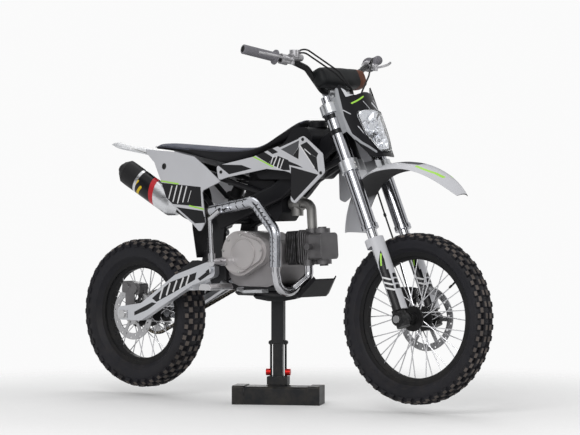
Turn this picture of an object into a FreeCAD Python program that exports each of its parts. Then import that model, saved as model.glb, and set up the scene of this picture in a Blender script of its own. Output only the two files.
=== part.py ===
import FreeCAD, Part
import math
import os
from FreeCAD import Vector, Matrix, Rotation, Placement

# Small off-road motorcycle held up by a paddock stand.
# X points forwards, Y to the rider's left, Z up, millimetres.
# The origin is on the floor, in the middle of the stand's foot.

# Main places of the chassis
wheelbase = 1270.0
front_axle_x = 624.0
wheel_lift = 28.0
rake_deg = 24.0
clamp_offset = 40.0
steer_rest_deg = 4.0

# Fits and gaps
running_gap = 0.05
seat_gap = 0.3
overrun = 4.0

# Wheels and tyres
front_tyre_r = 292.0
rear_tyre_r = 270.0
front_tyre_w = 76.0
rear_tyre_w = 95.0
front_bead_r = 216.0
rear_bead_r = 178.0
front_rim_w = 46.0
rear_rim_w = 58.0
rim_wall = 3.5
rim_well = 15.0
tyre_wall = 9.0
tread_depth = 9.0
spoke_count = 36
spoke_sides = 6
lug_pitch_count = 20
lug_sink = 3.0
lug_long_share = 0.36
lug_top_share = 0.84
belly_share = 0.55
shoulder_drop_share = 0.24
shoulder_half_share = 0.44
crown_half_share = 0.2
spoke_r = 1.9
hub_tube_r = 21.0
front_hub_flange_r = 42.0
rear_hub_flange_r = 50.0
hub_flange_t = 5.0
front_flange_y = 27.0
rear_flange_y = 33.0
front_hub_half = 55.0
rear_hub_half = 68.0
axle_r = 7.5

# Brake discs
disc_t = 3.2
front_disc_r = 110.0
front_disc_y = 52.0
rear_disc_r = 95.0
rear_disc_y = 61.0
disc_band = 24.0
disc_slot_count = 24
disc_slot_r = 3.2
disc_arm_count = 6
disc_arm_w = 13.0

# Chain line
chain_pitch = 12.7
chain_y = 64.0
rear_teeth = 37
front_teeth = 14
sprocket_t = 5.6
chain_gap = 0.6
chain_plate_t = 2.2
chain_plate_h = 11.0
chain_pin_r = 3.9
chain_stack = sprocket_t + 2 * (chain_gap + chain_plate_t)
chain_clear = 4.0
chain_waist = 1.7
pin_sides = 6
sprocket_bay_r = 42.0
front_sprocket_x = -142.0
front_sprocket_z = 478.0

# Fork, measured along the legs from the front axle
leg_y = 95.0
upper_tube_r = 25.5
slider_r = 18.0
upper_tube_foot = 335.0
upper_tube_top = 792.0
collar_h = 16.0
collar_out = 3.5
cap_h = 9.0
fork_foot_h = 62.0
fork_foot_r = 23.0
lower_clamp_at = 559.0
upper_clamp_at = 770.0
lower_clamp_h = 40.0
upper_clamp_h = 34.0
clamp_wall = 8.0
stem_r = 14.0
head_tube_r = 27.0
head_gap = 5.0
guard_foot = 28.0
guard_top = 292.0
guard_r = 33.0
guard_t = 3.0

# Handlebar, right half: places forward, sideways and up
bar_r = 11.0
bar_mid_x = 262.0
bar_mid_z = 1086.0
bar_mid_half = 72.0
bar_knee_x = 250.0
bar_knee_y = 152.0
bar_knee_z = 1164.0
bar_shoulder_x = 232.0
bar_shoulder_y = 205.0
bar_shoulder_z = 1184.0
bar_tip_x = 158.0
bar_tip_y = 388.0
bar_tip_z = 1219.0
grip_len = 124.0
grip_r = 16.5
grip_flange_r = 26.0
grip_flange_t = 7.0
riser_w = 34.0
riser_y = 38.0
brace_r = 7.0
brace_share = 0.62
pad_len = 262.0
pad_h = 72.0
pad_d = 64.0
pad_ahead = 22.0
perch_share = 0.16
perch_r = 18.0
perch_len = 26.0
lever_t = 9.0
lever_w = 15.0
reservoir_len = 62.0
reservoir_r = 15.0
hose_r = 3.0
hose_bend = 34.0

# Mask and lamp, in the steered frame
mask_t = 4.0
mask_foot_at = 558.0
mask_top_at = 836.0
mask_half_w = 106.0
mask_front = 98.0
mask_side = 46.0
mask_back = 24.0
strap_shares = (0.46, 0.66)
lamp_foot_at = 574.0
lamp_top_at = 728.0
lamp_half_w = 72.0
lamp_back = 52.0
lamp_bulge = 8.0

# Front mudguard
fender_t = 4.0
fender_half_w = 78.0
fender_tip_x = 806.0
fender_tip_z = 753.0
fender_top_x = 610.0
fender_top_z = 849.0
fender_tail_x = 338.0
fender_tail_z = 608.0
fender_lip = 26.0

# Main frame
spar_r = 17.0
spar_h = 62.0
spar_w = 28.0
spar_knee_x = 60.0
spar_knee_z = 745.0
spar_half = 64.0
plate_x = -212.0
plate_w = 92.0
plate_top_z = 655.0
plate_foot_z = 408.0
plate_half = 82.0
plate_t = 14.0
cradle_r = 11.0
cradle_z = 412.0
cradle_front_x = 116.0
cradle_half = 66.0
subframe_r = 10.5
rail_root_x = -10.0
rail_root_z = 735.0
rail_knee_z = 790.0
subframe_tail_x = -560.0
subframe_tail_z = 868.0
subframe_half = 44.0
stay_half = 62.0
pivot_x = -222.0
pivot_z = 468.0
pivot_bolt_r = 8.0

# Engine
case_rear_x = -182.0
case_front_x = 82.0
case_top_z = 604.0
case_foot_z = 410.0
case_half = 74.0
case_shares = [
    (0.0, 0.35), (0.0, 0.80), (0.14, 1.0), (0.52, 0.98), (0.74, 0.84), (1.0, 0.88),
    (1.0, 0.40), (0.90, 0.08), (0.72, 0.0), (0.16, 0.0),
]
cover_x = -68.0
cover_z = 528.0
cover_len = 206.0
cover_h = 157.0
cover_out = 120.0
cover_disc_r = 54.0
cover_lip = 4.0
left_cover_out = 100.0
barrel_z = 548.0
barrel_tilt_deg = 4.0
fin_half = 64.0
fin_t = 2.6
fin_pitch = 7.4
fin_count = 8
barrel_r = 41.0
head_len = 94.0
head_fin_count = 6
head_core = 92.0
valve_cap_r = 27.0
valve_cap_h = 16.0
plug_r = 11.0
intake_r = 17.0
carb_x = 118.0
carb_z = 704.0
carb_r = 24.0
air_box_rear_x = -118.0
air_box_front_x = 62.0
air_box_foot_z = 640.0
air_box_top_z = 782.0
air_box_half = 52.0

# Exhaust
pipe_r = 15.0
port_x = 162.0
port_y = -30.0
exhaust_low_z = 396.0
exhaust_side_y = 165.0
riser_x = 132.0
exhaust_top_z = 712.0
exhaust_rear_z = 680.0
exhaust_knee_x = 30.0
shield_r = 20.5
shield_t = 2.0
shield_half_deg = 100.0
shield_slot_count = 6
shield_top_slot_count = 5
shield_band_w = 9.0
silencer_front_x = -410.0
silencer_front_z = 677.0
silencer_len = 245.0
silencer_pitch_deg = 31.0
silencer_yaw_deg = 8.0
silencer_h = 91.0
silencer_w = 70.0
silencer_y = 67.0
silencer_cap = 38.0
silencer_tip_r = 17.0

# Controls on the right and left side
kick_shaft_x = -152.0
kick_shaft_z = 498.0
kick_out = 178.0
kick_top_z = 649.0
kick_r = 7.5
pedal_len = 62.0
peg_x = -146.0
peg_z = 412.0
peg_in = 104.0
peg_out = 222.0
peg_w = 54.0
peg_h = 22.0
pedal_pivot_x = -98.0
brake_tip_x = 52.0
shift_tip_x = 40.0
control_z = 402.0
control_y = 146.0

# Swingarm and rear shock
arm_y = 101.0
arm_t = 24.0
arm_front_h = 88.0
arm_rear_h = 46.0
arm_front_x = -305.0
arm_brace_x = -338.0
arm_brace_w = 46.0
arm_brace_drop = 53.0
arm_tube_r = 19.0
arm_link_r = 13.0
shock_lug_t = 6.0
shock_top_x = -176.0
shock_top_z = 772.0
shock_foot_x = -322.0
shock_foot_z = 516.0
shock_body_r = 21.0
spring_r = 33.0
spring_wire_r = 5.5
spring_turns = 6
shock_eye_r = 15.0

# Rear brake caliper and front brake caliper
caliper_len = 86.0
caliper_h = 42.0
caliper_t = 46.0

# Seat, tank and plastics
seat_rear_x = -552.0
seat_front_x = 146.0
seat_width = 224.0
seat_low_z = 833.0
seat_high_z = 998.0
seat_crown_share = 0.12
tank_front_x = 232.0
tank_rear_x = -40.0
tank_top_z = 968.0
tank_foot_z = 788.0
tank_half = 88.0
cap_x = 182.0
cap_r = 33.0
cap_h = 24.0
panel_rear_x = -574.0
panel_front_x = -173.0
panel_top_z = 892.0
panel_foot_z = 598.0
panel_t = 4.0
panel_lean_share = 0.12
panel_rear_half = 110.0
panel_front_half = 128.0
panel_hole_r = 11.5
shroud_rear_x = -201.0
shroud_front_x = 340.0
shroud_top_z = 938.0
shroud_foot_z = 706.0
shroud_t = 4.0
shroud_lean_share = 0.04
shroud_rear_half = 118.0
shroud_front_half = 154.0
shroud_peg_r = 7.0
shroud_peg_shares = ((0.22, 0.30), (0.72, 0.40))
tail_tip_x = -778.0
tail_tip_z = 916.0
tail_half = 76.0
tail_t = 4.0
flap_foot_z = 506.0
flap_half = 44.0

# Skid plate
skid_rear_x = -127.0
skid_front_x = 214.0
skid_z = 380.0
skid_side_z = 390.0
skid_nose_z = 440.0
skid_half = 86.0
skid_nose_run = 18.0
skid_bolt_shares = (0.12, 0.82)
skid_t = 5.0

# Paddock stand
foot_len = 311.0
foot_d = 112.0
foot_h = 66.0
foot_cap = 42.0
foot_cap_out = 3.0
stand_turn_deg = 31.0
column_w = 33.0
sleeve_w = 43.0
sleeve_h = 46.0
knuckle_w = 72.0
knuckle_h = 28.0
side_rod_r = 4.0
side_rod_y = 26.0
knob_r = 12.0
knob_h = 26.0
knob_z = 112.0
saddle_w = 160.0
saddle_t = 18.0

# Side stand, folded back on the left
kick_stand_x = -205.0
kick_stand_z = 430.0
kick_stand_y = 130.0
kick_knee_x = -330.0
kick_knee_z = 404.0
kick_tip_x = -562.0
kick_tip_z = 296.0
kick_stand_r = 9.5
kick_foot_len = 62.0
side_stand_tilt_deg = 15.0

rear_axle_x = front_axle_x - wheelbase
front_axle_z = wheel_lift + front_tyre_r
rear_axle_z = wheel_lift + rear_tyre_r
rake = math.radians(rake_deg)
LEFT = 1.0
RIGHT = -1.0
SIDES = (RIGHT, LEFT)

up_leg = Vector(-math.sin(rake), 0, math.cos(rake))
ahead_leg = Vector(math.cos(rake), 0, math.sin(rake))
front_axle = Vector(front_axle_x, 0, front_axle_z)
rear_axle = Vector(rear_axle_x, 0, rear_axle_z)
steer_point = front_axle - ahead_leg * clamp_offset


def leg_point(along, ahead=0.0, side=0.0):
    """A point given along the fork legs, ahead of them and to the left."""
    return front_axle + up_leg * along + ahead_leg * ahead + Vector(0, side, 0)


def steered(shape):
    """Turn a straight-ahead shape to where the bars rest."""
    turned = shape.copy()
    turned.rotate(steer_point, up_leg, steer_rest_deg)
    return turned


def rod(start, end, radius):
    """A round bar from one point to another."""
    return Part.makeCylinder(radius, (end - start).Length, start, end - start)


def disc(centre, direction, radius, length):
    """A cylinder centred on a point."""
    axis = Vector(direction).normalize()
    return Part.makeCylinder(radius, length, centre - axis * (length / 2), axis)


def joined(shapes):
    """One solid from shapes that overlap."""
    first = shapes[0]
    if len(shapes) == 1:
        return first
    return first.multiFuse(shapes[1:]).removeSplitter()


def mirrored(shape):
    """The same shape on the other side of the bike."""
    return shape.mirror(Vector(0, 0, 0), Vector(0, 1, 0))


def block(x, y, z, centre):
    """A box centred on a point."""
    return Part.makeBox(x, y, z, centre - Vector(x / 2, y / 2, z / 2))


def rounded_wire(points, radius):
    """A closed outline with every corner rounded as far as its sides allow."""
    count = len(points)
    edges = []
    ends = []
    for i in range(count):
        here = points[i]
        before = points[i - 1] - here
        after = points[(i + 1) % count] - here
        half = before.getAngle(after) / 2
        reach = min(radius / math.tan(half), before.Length * 0.48, after.Length * 0.48)
        start = here + before * (reach / before.Length)
        end = here + after * (reach / after.Length)
        middle_dir = (before * (1 / before.Length) + after * (1 / after.Length)).normalize()
        arc_r = reach * math.tan(half)
        middle = here + middle_dir * (arc_r / math.sin(half) - arc_r)
        ends.append((start, middle, end))
    for i in range(count):
        start, middle, end = ends[i]
        edges.append(Part.Arc(start, middle, end).toShape())
        edges.append(Part.LineSegment(end, ends[(i + 1) % count][0]).toShape())
    return Part.Wire(edges)


def spread(shares, low_x, high_x, low_z, high_z, y=0.0):
    """Outline points in the XZ plane from shares of a rectangle."""
    return [Vector(low_x + (high_x - low_x) * a, y, low_z + (high_z - low_z) * b) for a, b in shares]


def slab(points, radius, low_y, high_y):
    """An outline in the XZ plane given a thickness along Y."""
    placed = [Vector(p.x, low_y, p.z) for p in points]
    return Part.Face(rounded_wire(placed, radius)).extrude(Vector(0, high_y - low_y, 0))


def plate(points, low_y, high_y):
    """A sharp-cornered outline in the XZ plane given a thickness along Y."""
    placed = [Vector(p.x, low_y, p.z) for p in points]
    return Part.Face(Part.makePolygon(placed + placed[:1])).extrude(Vector(0, high_y - low_y, 0))


def turned_profile(pairs, centre):
    """Revolve radius and side pairs about the wheel axis through a centre."""
    points = [centre + Vector(0, y, r) for r, y in pairs]
    face = Part.Face(Part.makePolygon(points + points[:1]))
    return face.revolve(centre, Vector(0, 1, 0), 360)


def bent_path(points, bend):
    """Straight runs joined by arcs that leave and meet them smoothly."""
    edges = []
    last = points[0]
    for i in range(1, len(points) - 1):
        here = points[i]
        back = points[i - 1] - here
        on = points[i + 1] - here
        half = back.getAngle(on) / 2
        reach = min(bend / math.tan(half), back.Length * 0.45, on.Length * 0.45)
        start = here + back * (reach / back.Length)
        end = here + on * (reach / on.Length)
        arc_r = reach * math.tan(half)
        inward = (back * (1 / back.Length) + on * (1 / on.Length)).normalize()
        middle = here + inward * (arc_r / math.sin(half) - arc_r)
        edges.append(Part.LineSegment(last, start).toShape())
        edges.append(Part.Arc(start, middle, end).toShape())
        last = end
    edges.append(Part.LineSegment(last, points[-1]).toShape())
    return Part.Wire(edges)


def pipe(points, radius, bend):
    """A round tube swept along a bent path."""
    path = bent_path(points, bend)
    ring = Part.Wire(Part.Circle(points[0], points[1] - points[0], radius).toShape())
    return path.makePipeShell([ring], True, False)


def beam(points, height, width, bend):
    """A flat-sided rounded beam swept along a bent path, its height kept upright."""
    path = bent_path(points, bend)
    along = (points[1] - points[0]).normalize()
    across = Vector(0, 0, 1).cross(along).normalize()
    upward = along.cross(across)
    corners = []
    for a, b in ((-1, -1), (1, -1), (1, 1), (-1, 1)):
        corners.append(points[0] + across * (a * width / 2) + upward * (b * height / 2))
    ring = rounded_wire(corners, width * 0.3)
    return path.makePipeShell([ring], True, False)


def faceted_ring(pairs, centre, sides):
    """A closed ring with flat sides outside the circles of its radius and side pairs."""
    reach = 1 / math.cos(math.pi / sides)
    rows = []
    for r, y in pairs:
        row = []
        for i in range(sides):
            angle = (i + 0.5) * 2 * math.pi / sides
            row.append(centre + Vector(r * reach * math.sin(angle), y, r * reach * math.cos(angle)))
        rows.append(row)
    faces = []
    for k in range(len(rows)):
        low = rows[k]
        high = rows[(k + 1) % len(rows)]
        for i in range(sides):
            j = (i + 1) % sides
            corners = [low[i], low[j], high[j], high[i], low[i]]
            faces.append(Part.Face(Part.makePolygon(corners)))
    ring = Part.Solid(Part.Shell(faces))
    if ring.Volume < 0:
        ring.reverse()
    return ring


def tyre_casing(centre, outer_r, bead_r, width, rim_w):
    """A hollow casing seated between the rim's flanges, under its lugs."""
    body_r = outer_r - tread_depth
    height = body_r - bead_r
    edge = rim_w / 2
    foot = edge - rim_wall
    flange_r = bead_r + rim_wall * 3
    belly = bead_r + height * belly_share
    inner_foot = foot - tyre_wall * 0.6
    inner_belly = width / 2 - tyre_wall
    half = [
        (bead_r, inner_foot),
        (bead_r, foot),
        (flange_r, foot),
        (flange_r, edge),
        (belly, width / 2),
        (body_r - height * shoulder_drop_share, width * shoulder_half_share),
        (body_r, width * crown_half_share),
    ]
    inside = [(body_r - tyre_wall, inner_belly / 2), (belly, inner_belly)]
    outline = half + [(r, -y) for r, y in half[::-1]]
    hollow = [(r, -y) for r, y in inside[::-1]] + inside
    return faceted_ring(outline + hollow, centre, lug_pitch_count * 2)


def tread_lug(long, wide, high):
    """A tapered rubber block that stands on the floor plane."""
    low = [Vector(x * long / 2, y * wide / 2, 0) for x, y in ((-1, -1), (1, -1), (1, 1), (-1, 1))]
    top = [Vector(p.x * lug_top_share, p.y * lug_top_share, high) for p in low]
    return Part.makeLoft([Part.makePolygon(low + low[:1]), Part.makePolygon(top + top[:1])], True, True)


def lugged_tyre(centre, outer_r, bead_r, width, rim_w):
    """The tyre's casing with lugs along the middle and, between them, on both shoulders."""
    casing = tyre_casing(centre, outer_r, bead_r, width, rim_w)
    body_r = outer_r - tread_depth
    drop = (body_r - bead_r) * shoulder_drop_share
    aside = width * (shoulder_half_share - crown_half_share)
    slope = math.atan2(drop, aside)
    step = 2 * math.pi / lug_pitch_count
    long = step * outer_r * lug_long_share
    high = tread_depth + lug_sink
    corner_drop = long * long / (8 * outer_r)
    lugs = []
    for i in range(lug_pitch_count):
        middle = tread_lug(long, width * crown_half_share * 1.6, high - corner_drop)
        middle.translate(centre + Vector(0, 0, body_r - lug_sink))
        middle.rotate(centre, Vector(0, 1, 0), math.degrees(i * step))
        lugs.append(middle)
        for side in SIDES:
            edge = tread_lug(long, math.hypot(drop, aside) * 0.8, high - corner_drop)
            edge.translate(Vector(0, 0, -lug_sink))
            edge.rotate(Vector(0, 0, 0), Vector(1, 0, 0), -side * math.degrees(slope))
            middle_y = width * (shoulder_half_share + crown_half_share) / 2
            edge.translate(centre + Vector(0, side * middle_y, body_r - drop / 2))
            edge.rotate(centre, Vector(0, 1, 0), math.degrees((i + 0.5) * step))
            lugs.append(edge)
    return joined([casing] + lugs)


def rim(centre, bead_r, width):
    """A drop-centre rim with a flange at each edge."""
    half = width / 2
    well_half = half * 0.38
    flange_r = bead_r + rim_wall * 3
    pairs = [
        (flange_r, -half),
        (flange_r, -half + rim_wall),
        (bead_r, -half + rim_wall),
        (bead_r, -well_half - rim_wall),
        (bead_r - rim_well + rim_wall, -well_half),
        (bead_r - rim_well + rim_wall, well_half),
        (bead_r, well_half + rim_wall),
        (bead_r, half - rim_wall),
        (flange_r, half - rim_wall),
        (flange_r, half),
        (bead_r - rim_wall, half),
        (bead_r - rim_wall, well_half + rim_wall * 2),
        (bead_r - rim_well, well_half),
        (bead_r - rim_well, -well_half),
        (bead_r - rim_wall, -well_half - rim_wall * 2),
        (bead_r - rim_wall, -half),
    ]
    return turned_profile(pairs, centre)


def sided_rod(start, end, radius, sides):
    """A straight bar with a few flat sides."""
    along = (end - start).normalize()
    aside = along.cross(Vector(0, 0, 1) if abs(along.z) < 0.8 else Vector(1, 0, 0)).normalize()
    other = along.cross(aside)
    points = []
    for i in range(sides):
        turn = 2 * math.pi * i / sides
        points.append(start + aside * (radius * math.cos(turn)) + other * (radius * math.sin(turn)))
    return Part.Face(Part.makePolygon(points + points[:1])).extrude(end - start)


def hub_with_spokes(centre, bead_r, flange_r, flange_y, half):
    """Hub barrel, two flanges and crossed six-sided spokes that reach the rim's well."""
    bore = axle_r + running_gap
    flange_in = flange_y - hub_flange_t / 2
    flange_out = flange_y + hub_flange_t / 2
    pairs = [
        (bore, -half),
        (hub_tube_r, -half),
        (hub_tube_r, -flange_out),
        (flange_r, -flange_out),
        (flange_r, -flange_in),
        (hub_tube_r, -flange_in + hub_flange_t),
        (hub_tube_r, flange_in - hub_flange_t),
        (flange_r, flange_in),
        (flange_r, flange_out),
        (hub_tube_r, flange_out),
        (hub_tube_r, half),
        (bore, half),
    ]
    hub = turned_profile(pairs, centre)
    spokes = []
    rim_r = bead_r - rim_well + rim_wall / 2
    hole_r = flange_r - spoke_r * 2.5
    step = 2 * math.pi / spoke_count
    cross = step * 2.6
    for i in range(spoke_count):
        side = SIDES[i % 2]
        lean = cross if (i // 2) % 2 else -cross
        rim_angle = i * step
        hub_angle = rim_angle + lean
        at_rim = centre + Vector(math.sin(rim_angle) * rim_r, side * spoke_r * 3, math.cos(rim_angle) * rim_r)
        at_hub = centre + Vector(math.sin(hub_angle) * hole_r, side * flange_y, math.cos(hub_angle) * hole_r)
        spokes.append(sided_rod(at_hub, at_rim, spoke_r, spoke_sides))
    return joined([hub] + spokes)


def brake_disc(centre, side_y, outer_r, carrier_r):
    """A slotted disc on arms that reach a carrier ring on the hub."""
    middle = centre + Vector(0, side_y, 0)
    ring = disc(middle, Vector(0, 1, 0), outer_r, disc_t)
    ring = ring.cut(disc(middle, Vector(0, 1, 0), outer_r - disc_band, disc_t + overrun))
    parts = [ring]
    carrier = disc(middle, Vector(0, 1, 0), carrier_r, disc_t)
    parts.append(carrier)
    arm_len = outer_r - disc_band / 2 - carrier_r / 2
    for i in range(disc_arm_count):
        arm = block(arm_len, disc_t, disc_arm_w, middle + Vector(carrier_r / 2 + arm_len / 2, 0, 0))
        arm.rotate(middle, Vector(0, 1, 0), 360 * i / disc_arm_count)
        parts.append(arm)
    whole = joined(parts)
    holes = [disc(middle, Vector(0, 1, 0), hub_tube_r, disc_t + overrun)]
    for i in range(disc_slot_count):
        turn = 2 * math.pi * (i + 0.5) / disc_slot_count
        radius = outer_r - disc_band * (0.3 if i % 2 else 0.68)
        spot = middle + Vector(math.cos(turn) * radius, 0, math.sin(turn) * radius)
        holes.append(disc(spot, Vector(0, 1, 0), disc_slot_r, disc_t + overrun))
    return whole.cut(Part.makeCompound(holes))


def sprocket(centre, teeth, side_y, bore_r):
    """A toothed wheel with lightening holes."""
    pitch_r = chain_pitch / (2 * math.sin(math.pi / teeth))
    tip_r = pitch_r + chain_pitch * 0.25
    root_r = pitch_r - chain_pitch * 0.3
    step = 2 * math.pi / teeth
    points = []
    for i in range(teeth):
        for share, radius in ((0.0, root_r), (0.34, root_r), (0.56, tip_r), (0.78, tip_r)):
            turn = (i + share - 0.17) * step
            points.append(centre + Vector(radius * math.sin(turn), side_y - sprocket_t / 2, radius * math.cos(turn)))
    gear = Part.Face(Part.makePolygon(points + points[:1])).extrude(Vector(0, sprocket_t, 0))
    middle = centre + Vector(0, side_y, 0)
    holes = [disc(middle, Vector(0, 1, 0), bore_r, sprocket_t + overrun)]
    if teeth > front_teeth:
        hole_r = (root_r - bore_r) * 0.3
        for i in range(disc_arm_count):
            turn = 2 * math.pi * i / disc_arm_count
            ring = (root_r + bore_r) / 2 + hole_r * 0.3
            spot = middle + Vector(math.cos(turn) * ring, 0, math.sin(turn) * ring)
            holes.append(disc(spot, Vector(0, 1, 0), hole_r, sprocket_t + overrun))
    return gear.cut(Part.makeCompound(holes))


def belt_outline(a, b, ra, rb, y):
    """The closed line round two circles in the XZ plane."""
    gap = b - a
    lean = math.acos((ra - rb) / gap.Length)
    base = math.atan2(gap.z, gap.x)

    def on(centre, radius, turn):
        return Vector(centre.x + radius * math.cos(turn), y, centre.z + radius * math.sin(turn))

    a_up, a_low = on(a, ra, base + lean), on(a, ra, base - lean)
    b_up, b_low = on(b, rb, base + lean), on(b, rb, base - lean)
    return Part.Wire([
        Part.LineSegment(a_up, b_up).toShape(),
        Part.Arc(b_up, on(b, rb, base), b_low).toShape(),
        Part.LineSegment(b_low, a_low).toShape(),
        Part.Arc(a_low, on(a, ra, base + math.pi), a_up).toShape(),
    ])


def belt_stations(a, b, ra, rb):
    """Places at every pitch round two circles, each with its outward direction."""
    gap = b - a
    lean = math.acos((ra - rb) / gap.Length)
    base = math.atan2(gap.z, gap.x)
    straight = gap.Length * math.sin(lean)
    round_b = 2 * lean * rb
    round_a = 2 * (math.pi - lean) * ra
    whole = 2 * straight + round_a + round_b
    count = 2 * round(whole / chain_pitch / 2)
    up = Vector(math.cos(base + lean), 0, math.sin(base + lean))
    down = Vector(math.cos(base - lean), 0, math.sin(base - lean))
    found = []
    for i in range(count):
        reach = whole * i / count
        if reach < straight:
            start, end = a + up * ra, b + up * rb
            found.append((start + (end - start) * (reach / straight), up))
            continue
        reach -= straight
        if reach < round_b:
            turn = base + lean - reach / rb
            out = Vector(math.cos(turn), 0, math.sin(turn))
            found.append((b + out * rb, out))
            continue
        reach -= round_b
        if reach < straight:
            start, end = b + down * rb, a + down * ra
            found.append((start + (end - start) * (reach / straight), down))
            continue
        turn = base - lean - (reach - straight) / ra
        out = Vector(math.cos(turn), 0, math.sin(turn))
        found.append((a + out * ra, out))
    return found


def drive_chain():
    """Two rows of waisted side plates that straddle both sprockets, pinned along the straight runs."""
    rear = rear_axle
    front = Vector(front_sprocket_x, 0, front_sprocket_z)
    rear_r = chain_pitch / (2 * math.sin(math.pi / rear_teeth))
    front_r = chain_pitch / (2 * math.sin(math.pi / front_teeth))
    half = chain_plate_h / 2
    stations = belt_stations(rear, front, rear_r, front_r)
    rows = []
    for side in SIDES:
        inner = chain_y + side * (sprocket_t / 2 + chain_gap)
        loops = []
        for sign in (1, -1):
            points = []
            for i, (spot, out) in enumerate(stations):
                reach = half if i % 2 == 0 else half - chain_waist
                points.append(spot + out * (sign * reach) + Vector(0, inner, 0))
            loops.append(Part.Face(Part.makePolygon(points + points[:1])))
        rows.append(loops[0].cut(loops[1]).extrude(Vector(0, side * chain_plate_t, 0)))
    gap = front - rear
    lean = math.acos((rear_r - front_r) / gap.Length)
    base = math.atan2(gap.z, gap.x)
    width = sprocket_t + 2 * chain_gap + chain_plate_t
    pins = []
    for sign in (1, -1):
        turn = base + sign * lean
        start = rear + Vector(math.cos(turn), 0, math.sin(turn)) * rear_r
        end = front + Vector(math.cos(turn), 0, math.sin(turn)) * front_r
        run = end - start
        links = int(run.Length / chain_pitch)
        for i in range(4, links - 2, 2):
            spot = start + run * (i * chain_pitch / run.Length) + Vector(0, chain_y, 0)
            half_pin = Vector(0, width / 2, 0)
            pins.append(sided_rod(spot - half_pin, spot + half_pin, chain_pin_r, pin_sides))
    return joined(rows + pins)


def fork_clamp(along, height):
    """A forged yoke that carries the stem and splits round both legs."""
    middle = leg_point(along, -clamp_offset)
    outer = upper_tube_r + clamp_wall
    waist = outer * 0.62
    ahead = clamp_offset
    pairs = [
        (ahead + waist, leg_y * 0.35),
        (ahead + waist, leg_y),
        (ahead - waist, leg_y),
        (-stem_r * 2, leg_y * 0.3),
        (-stem_r * 2, -leg_y * 0.3),
        (ahead - waist, -leg_y),
        (ahead + waist, -leg_y),
        (ahead + waist, -leg_y * 0.35),
        (ahead - waist * 0.2, 0),
    ]
    base = middle - up_leg * (height / 2)
    points = [base + ahead_leg * a + Vector(0, y, 0) for a, y in pairs]
    body = Part.Face(rounded_wire(points, waist * 0.5)).extrude(up_leg * height)
    rings = [disc(leg_point(along, 0, side * leg_y), up_leg, outer, height) for side in SIDES]
    whole = joined([body] + rings)
    for side in SIDES:
        whole = whole.cut(disc(leg_point(along, 0, side * leg_y), up_leg, upper_tube_r, height + overrun))
    return whole


def triple_clamps():
    """Both yokes, joined by the stem that turns inside the head tube."""
    lower = fork_clamp(lower_clamp_at, lower_clamp_h)
    upper = fork_clamp(upper_clamp_at, upper_clamp_h)
    stem = rod(leg_point(lower_clamp_at, -clamp_offset), leg_point(upper_clamp_at, -clamp_offset), stem_r)
    nut = disc(leg_point(upper_clamp_at + upper_clamp_h / 2 + cap_h / 2, -clamp_offset), up_leg, stem_r * 1.3, cap_h)
    risers = []
    bar_mid = Vector(bar_mid_x, 0, bar_mid_z)
    for side in SIDES:
        seat = leg_point(upper_clamp_at + upper_clamp_h / 2, bar_ahead(), side * riser_y)
        top = Vector(bar_mid.x, side * riser_y, bar_mid.z)
        post = rod(seat - up_leg * overrun, top, riser_w * 0.36)
        clamp = disc(top, Vector(0, 1, 0), bar_r + clamp_wall, riser_w)
        risers.append(joined([post, clamp]).cut(disc(top, Vector(0, 1, 0), bar_r, riser_w + overrun)))
    return joined([lower, upper, stem, nut] + risers)


def bar_ahead():
    """How far ahead of the legs the bar's middle lies."""
    return (Vector(bar_mid_x, 0, bar_mid_z) - front_axle).dot(ahead_leg)


def fork_tubes():
    """The thick upper legs with their collars and top caps, in one node."""
    legs = []
    for side in SIDES:
        tube = rod(leg_point(upper_tube_foot, 0, side * leg_y), leg_point(upper_tube_top, 0, side * leg_y), upper_tube_r)
        collar = rod(
            leg_point(upper_tube_foot - collar_h / 2, 0, side * leg_y),
            leg_point(upper_tube_foot + collar_h / 2, 0, side * leg_y),
            upper_tube_r + collar_out,
        )
        cap = rod(
            leg_point(upper_tube_top, 0, side * leg_y),
            leg_point(upper_tube_top + cap_h, 0, side * leg_y),
            upper_tube_r * 0.72,
        )
        legs.append(joined([tube, collar, cap]))
    return Part.makeCompound(legs)


def fork_sliders():
    """The bright lower legs with the cast feet that hold the axle."""
    legs = []
    for side in SIDES:
        slider = rod(leg_point(0, 0, side * leg_y), leg_point(upper_tube_foot - collar_h / 2, 0, side * leg_y), slider_r)
        foot = rod(
            leg_point(-fork_foot_h * 0.45, 0, side * leg_y),
            leg_point(fork_foot_h * 0.55, 0, side * leg_y),
            fork_foot_r,
        )
        boss = disc(leg_point(0, 0, side * leg_y), Vector(0, 1, 0), fork_foot_r, 2 * fork_foot_r)
        leg = joined([slider, foot, boss])
        legs.append(leg.cut(disc(leg_point(0, 0, side * leg_y), Vector(0, 1, 0), axle_r, 3 * fork_foot_r)))
    return Part.makeCompound(legs)


def fork_guards():
    """Thin half-round shields in front of the lower legs."""
    guards = []
    for side in SIDES:
        low = leg_point(guard_foot, 0, side * leg_y)
        top = leg_point(guard_top, 0, side * leg_y)
        shell = rod(low, top, guard_r).cut(rod(low, top, guard_r - guard_t))
        cut_box = Part.makeBox(guard_r * 2, guard_r * 4, (guard_top - guard_foot) * 2)
        cut_box.translate(Vector(-guard_r * 2 + guard_r * 0.12, -guard_r * 2, -guard_top))
        cut_box.rotate(Vector(0, 0, 0), Vector(0, 1, 0), -rake_deg)
        cut_box.translate(low)
        shield = shell.cut(cut_box)
        strap = rod(low, low + up_leg * collar_h, guard_r - guard_t / 2)
        strap = strap.cut(rod(low - up_leg * overrun, top, slider_r + seat_gap)).cut(cut_box)
        guards.append(joined([shield, strap]))
    return Part.makeCompound(guards)


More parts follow.
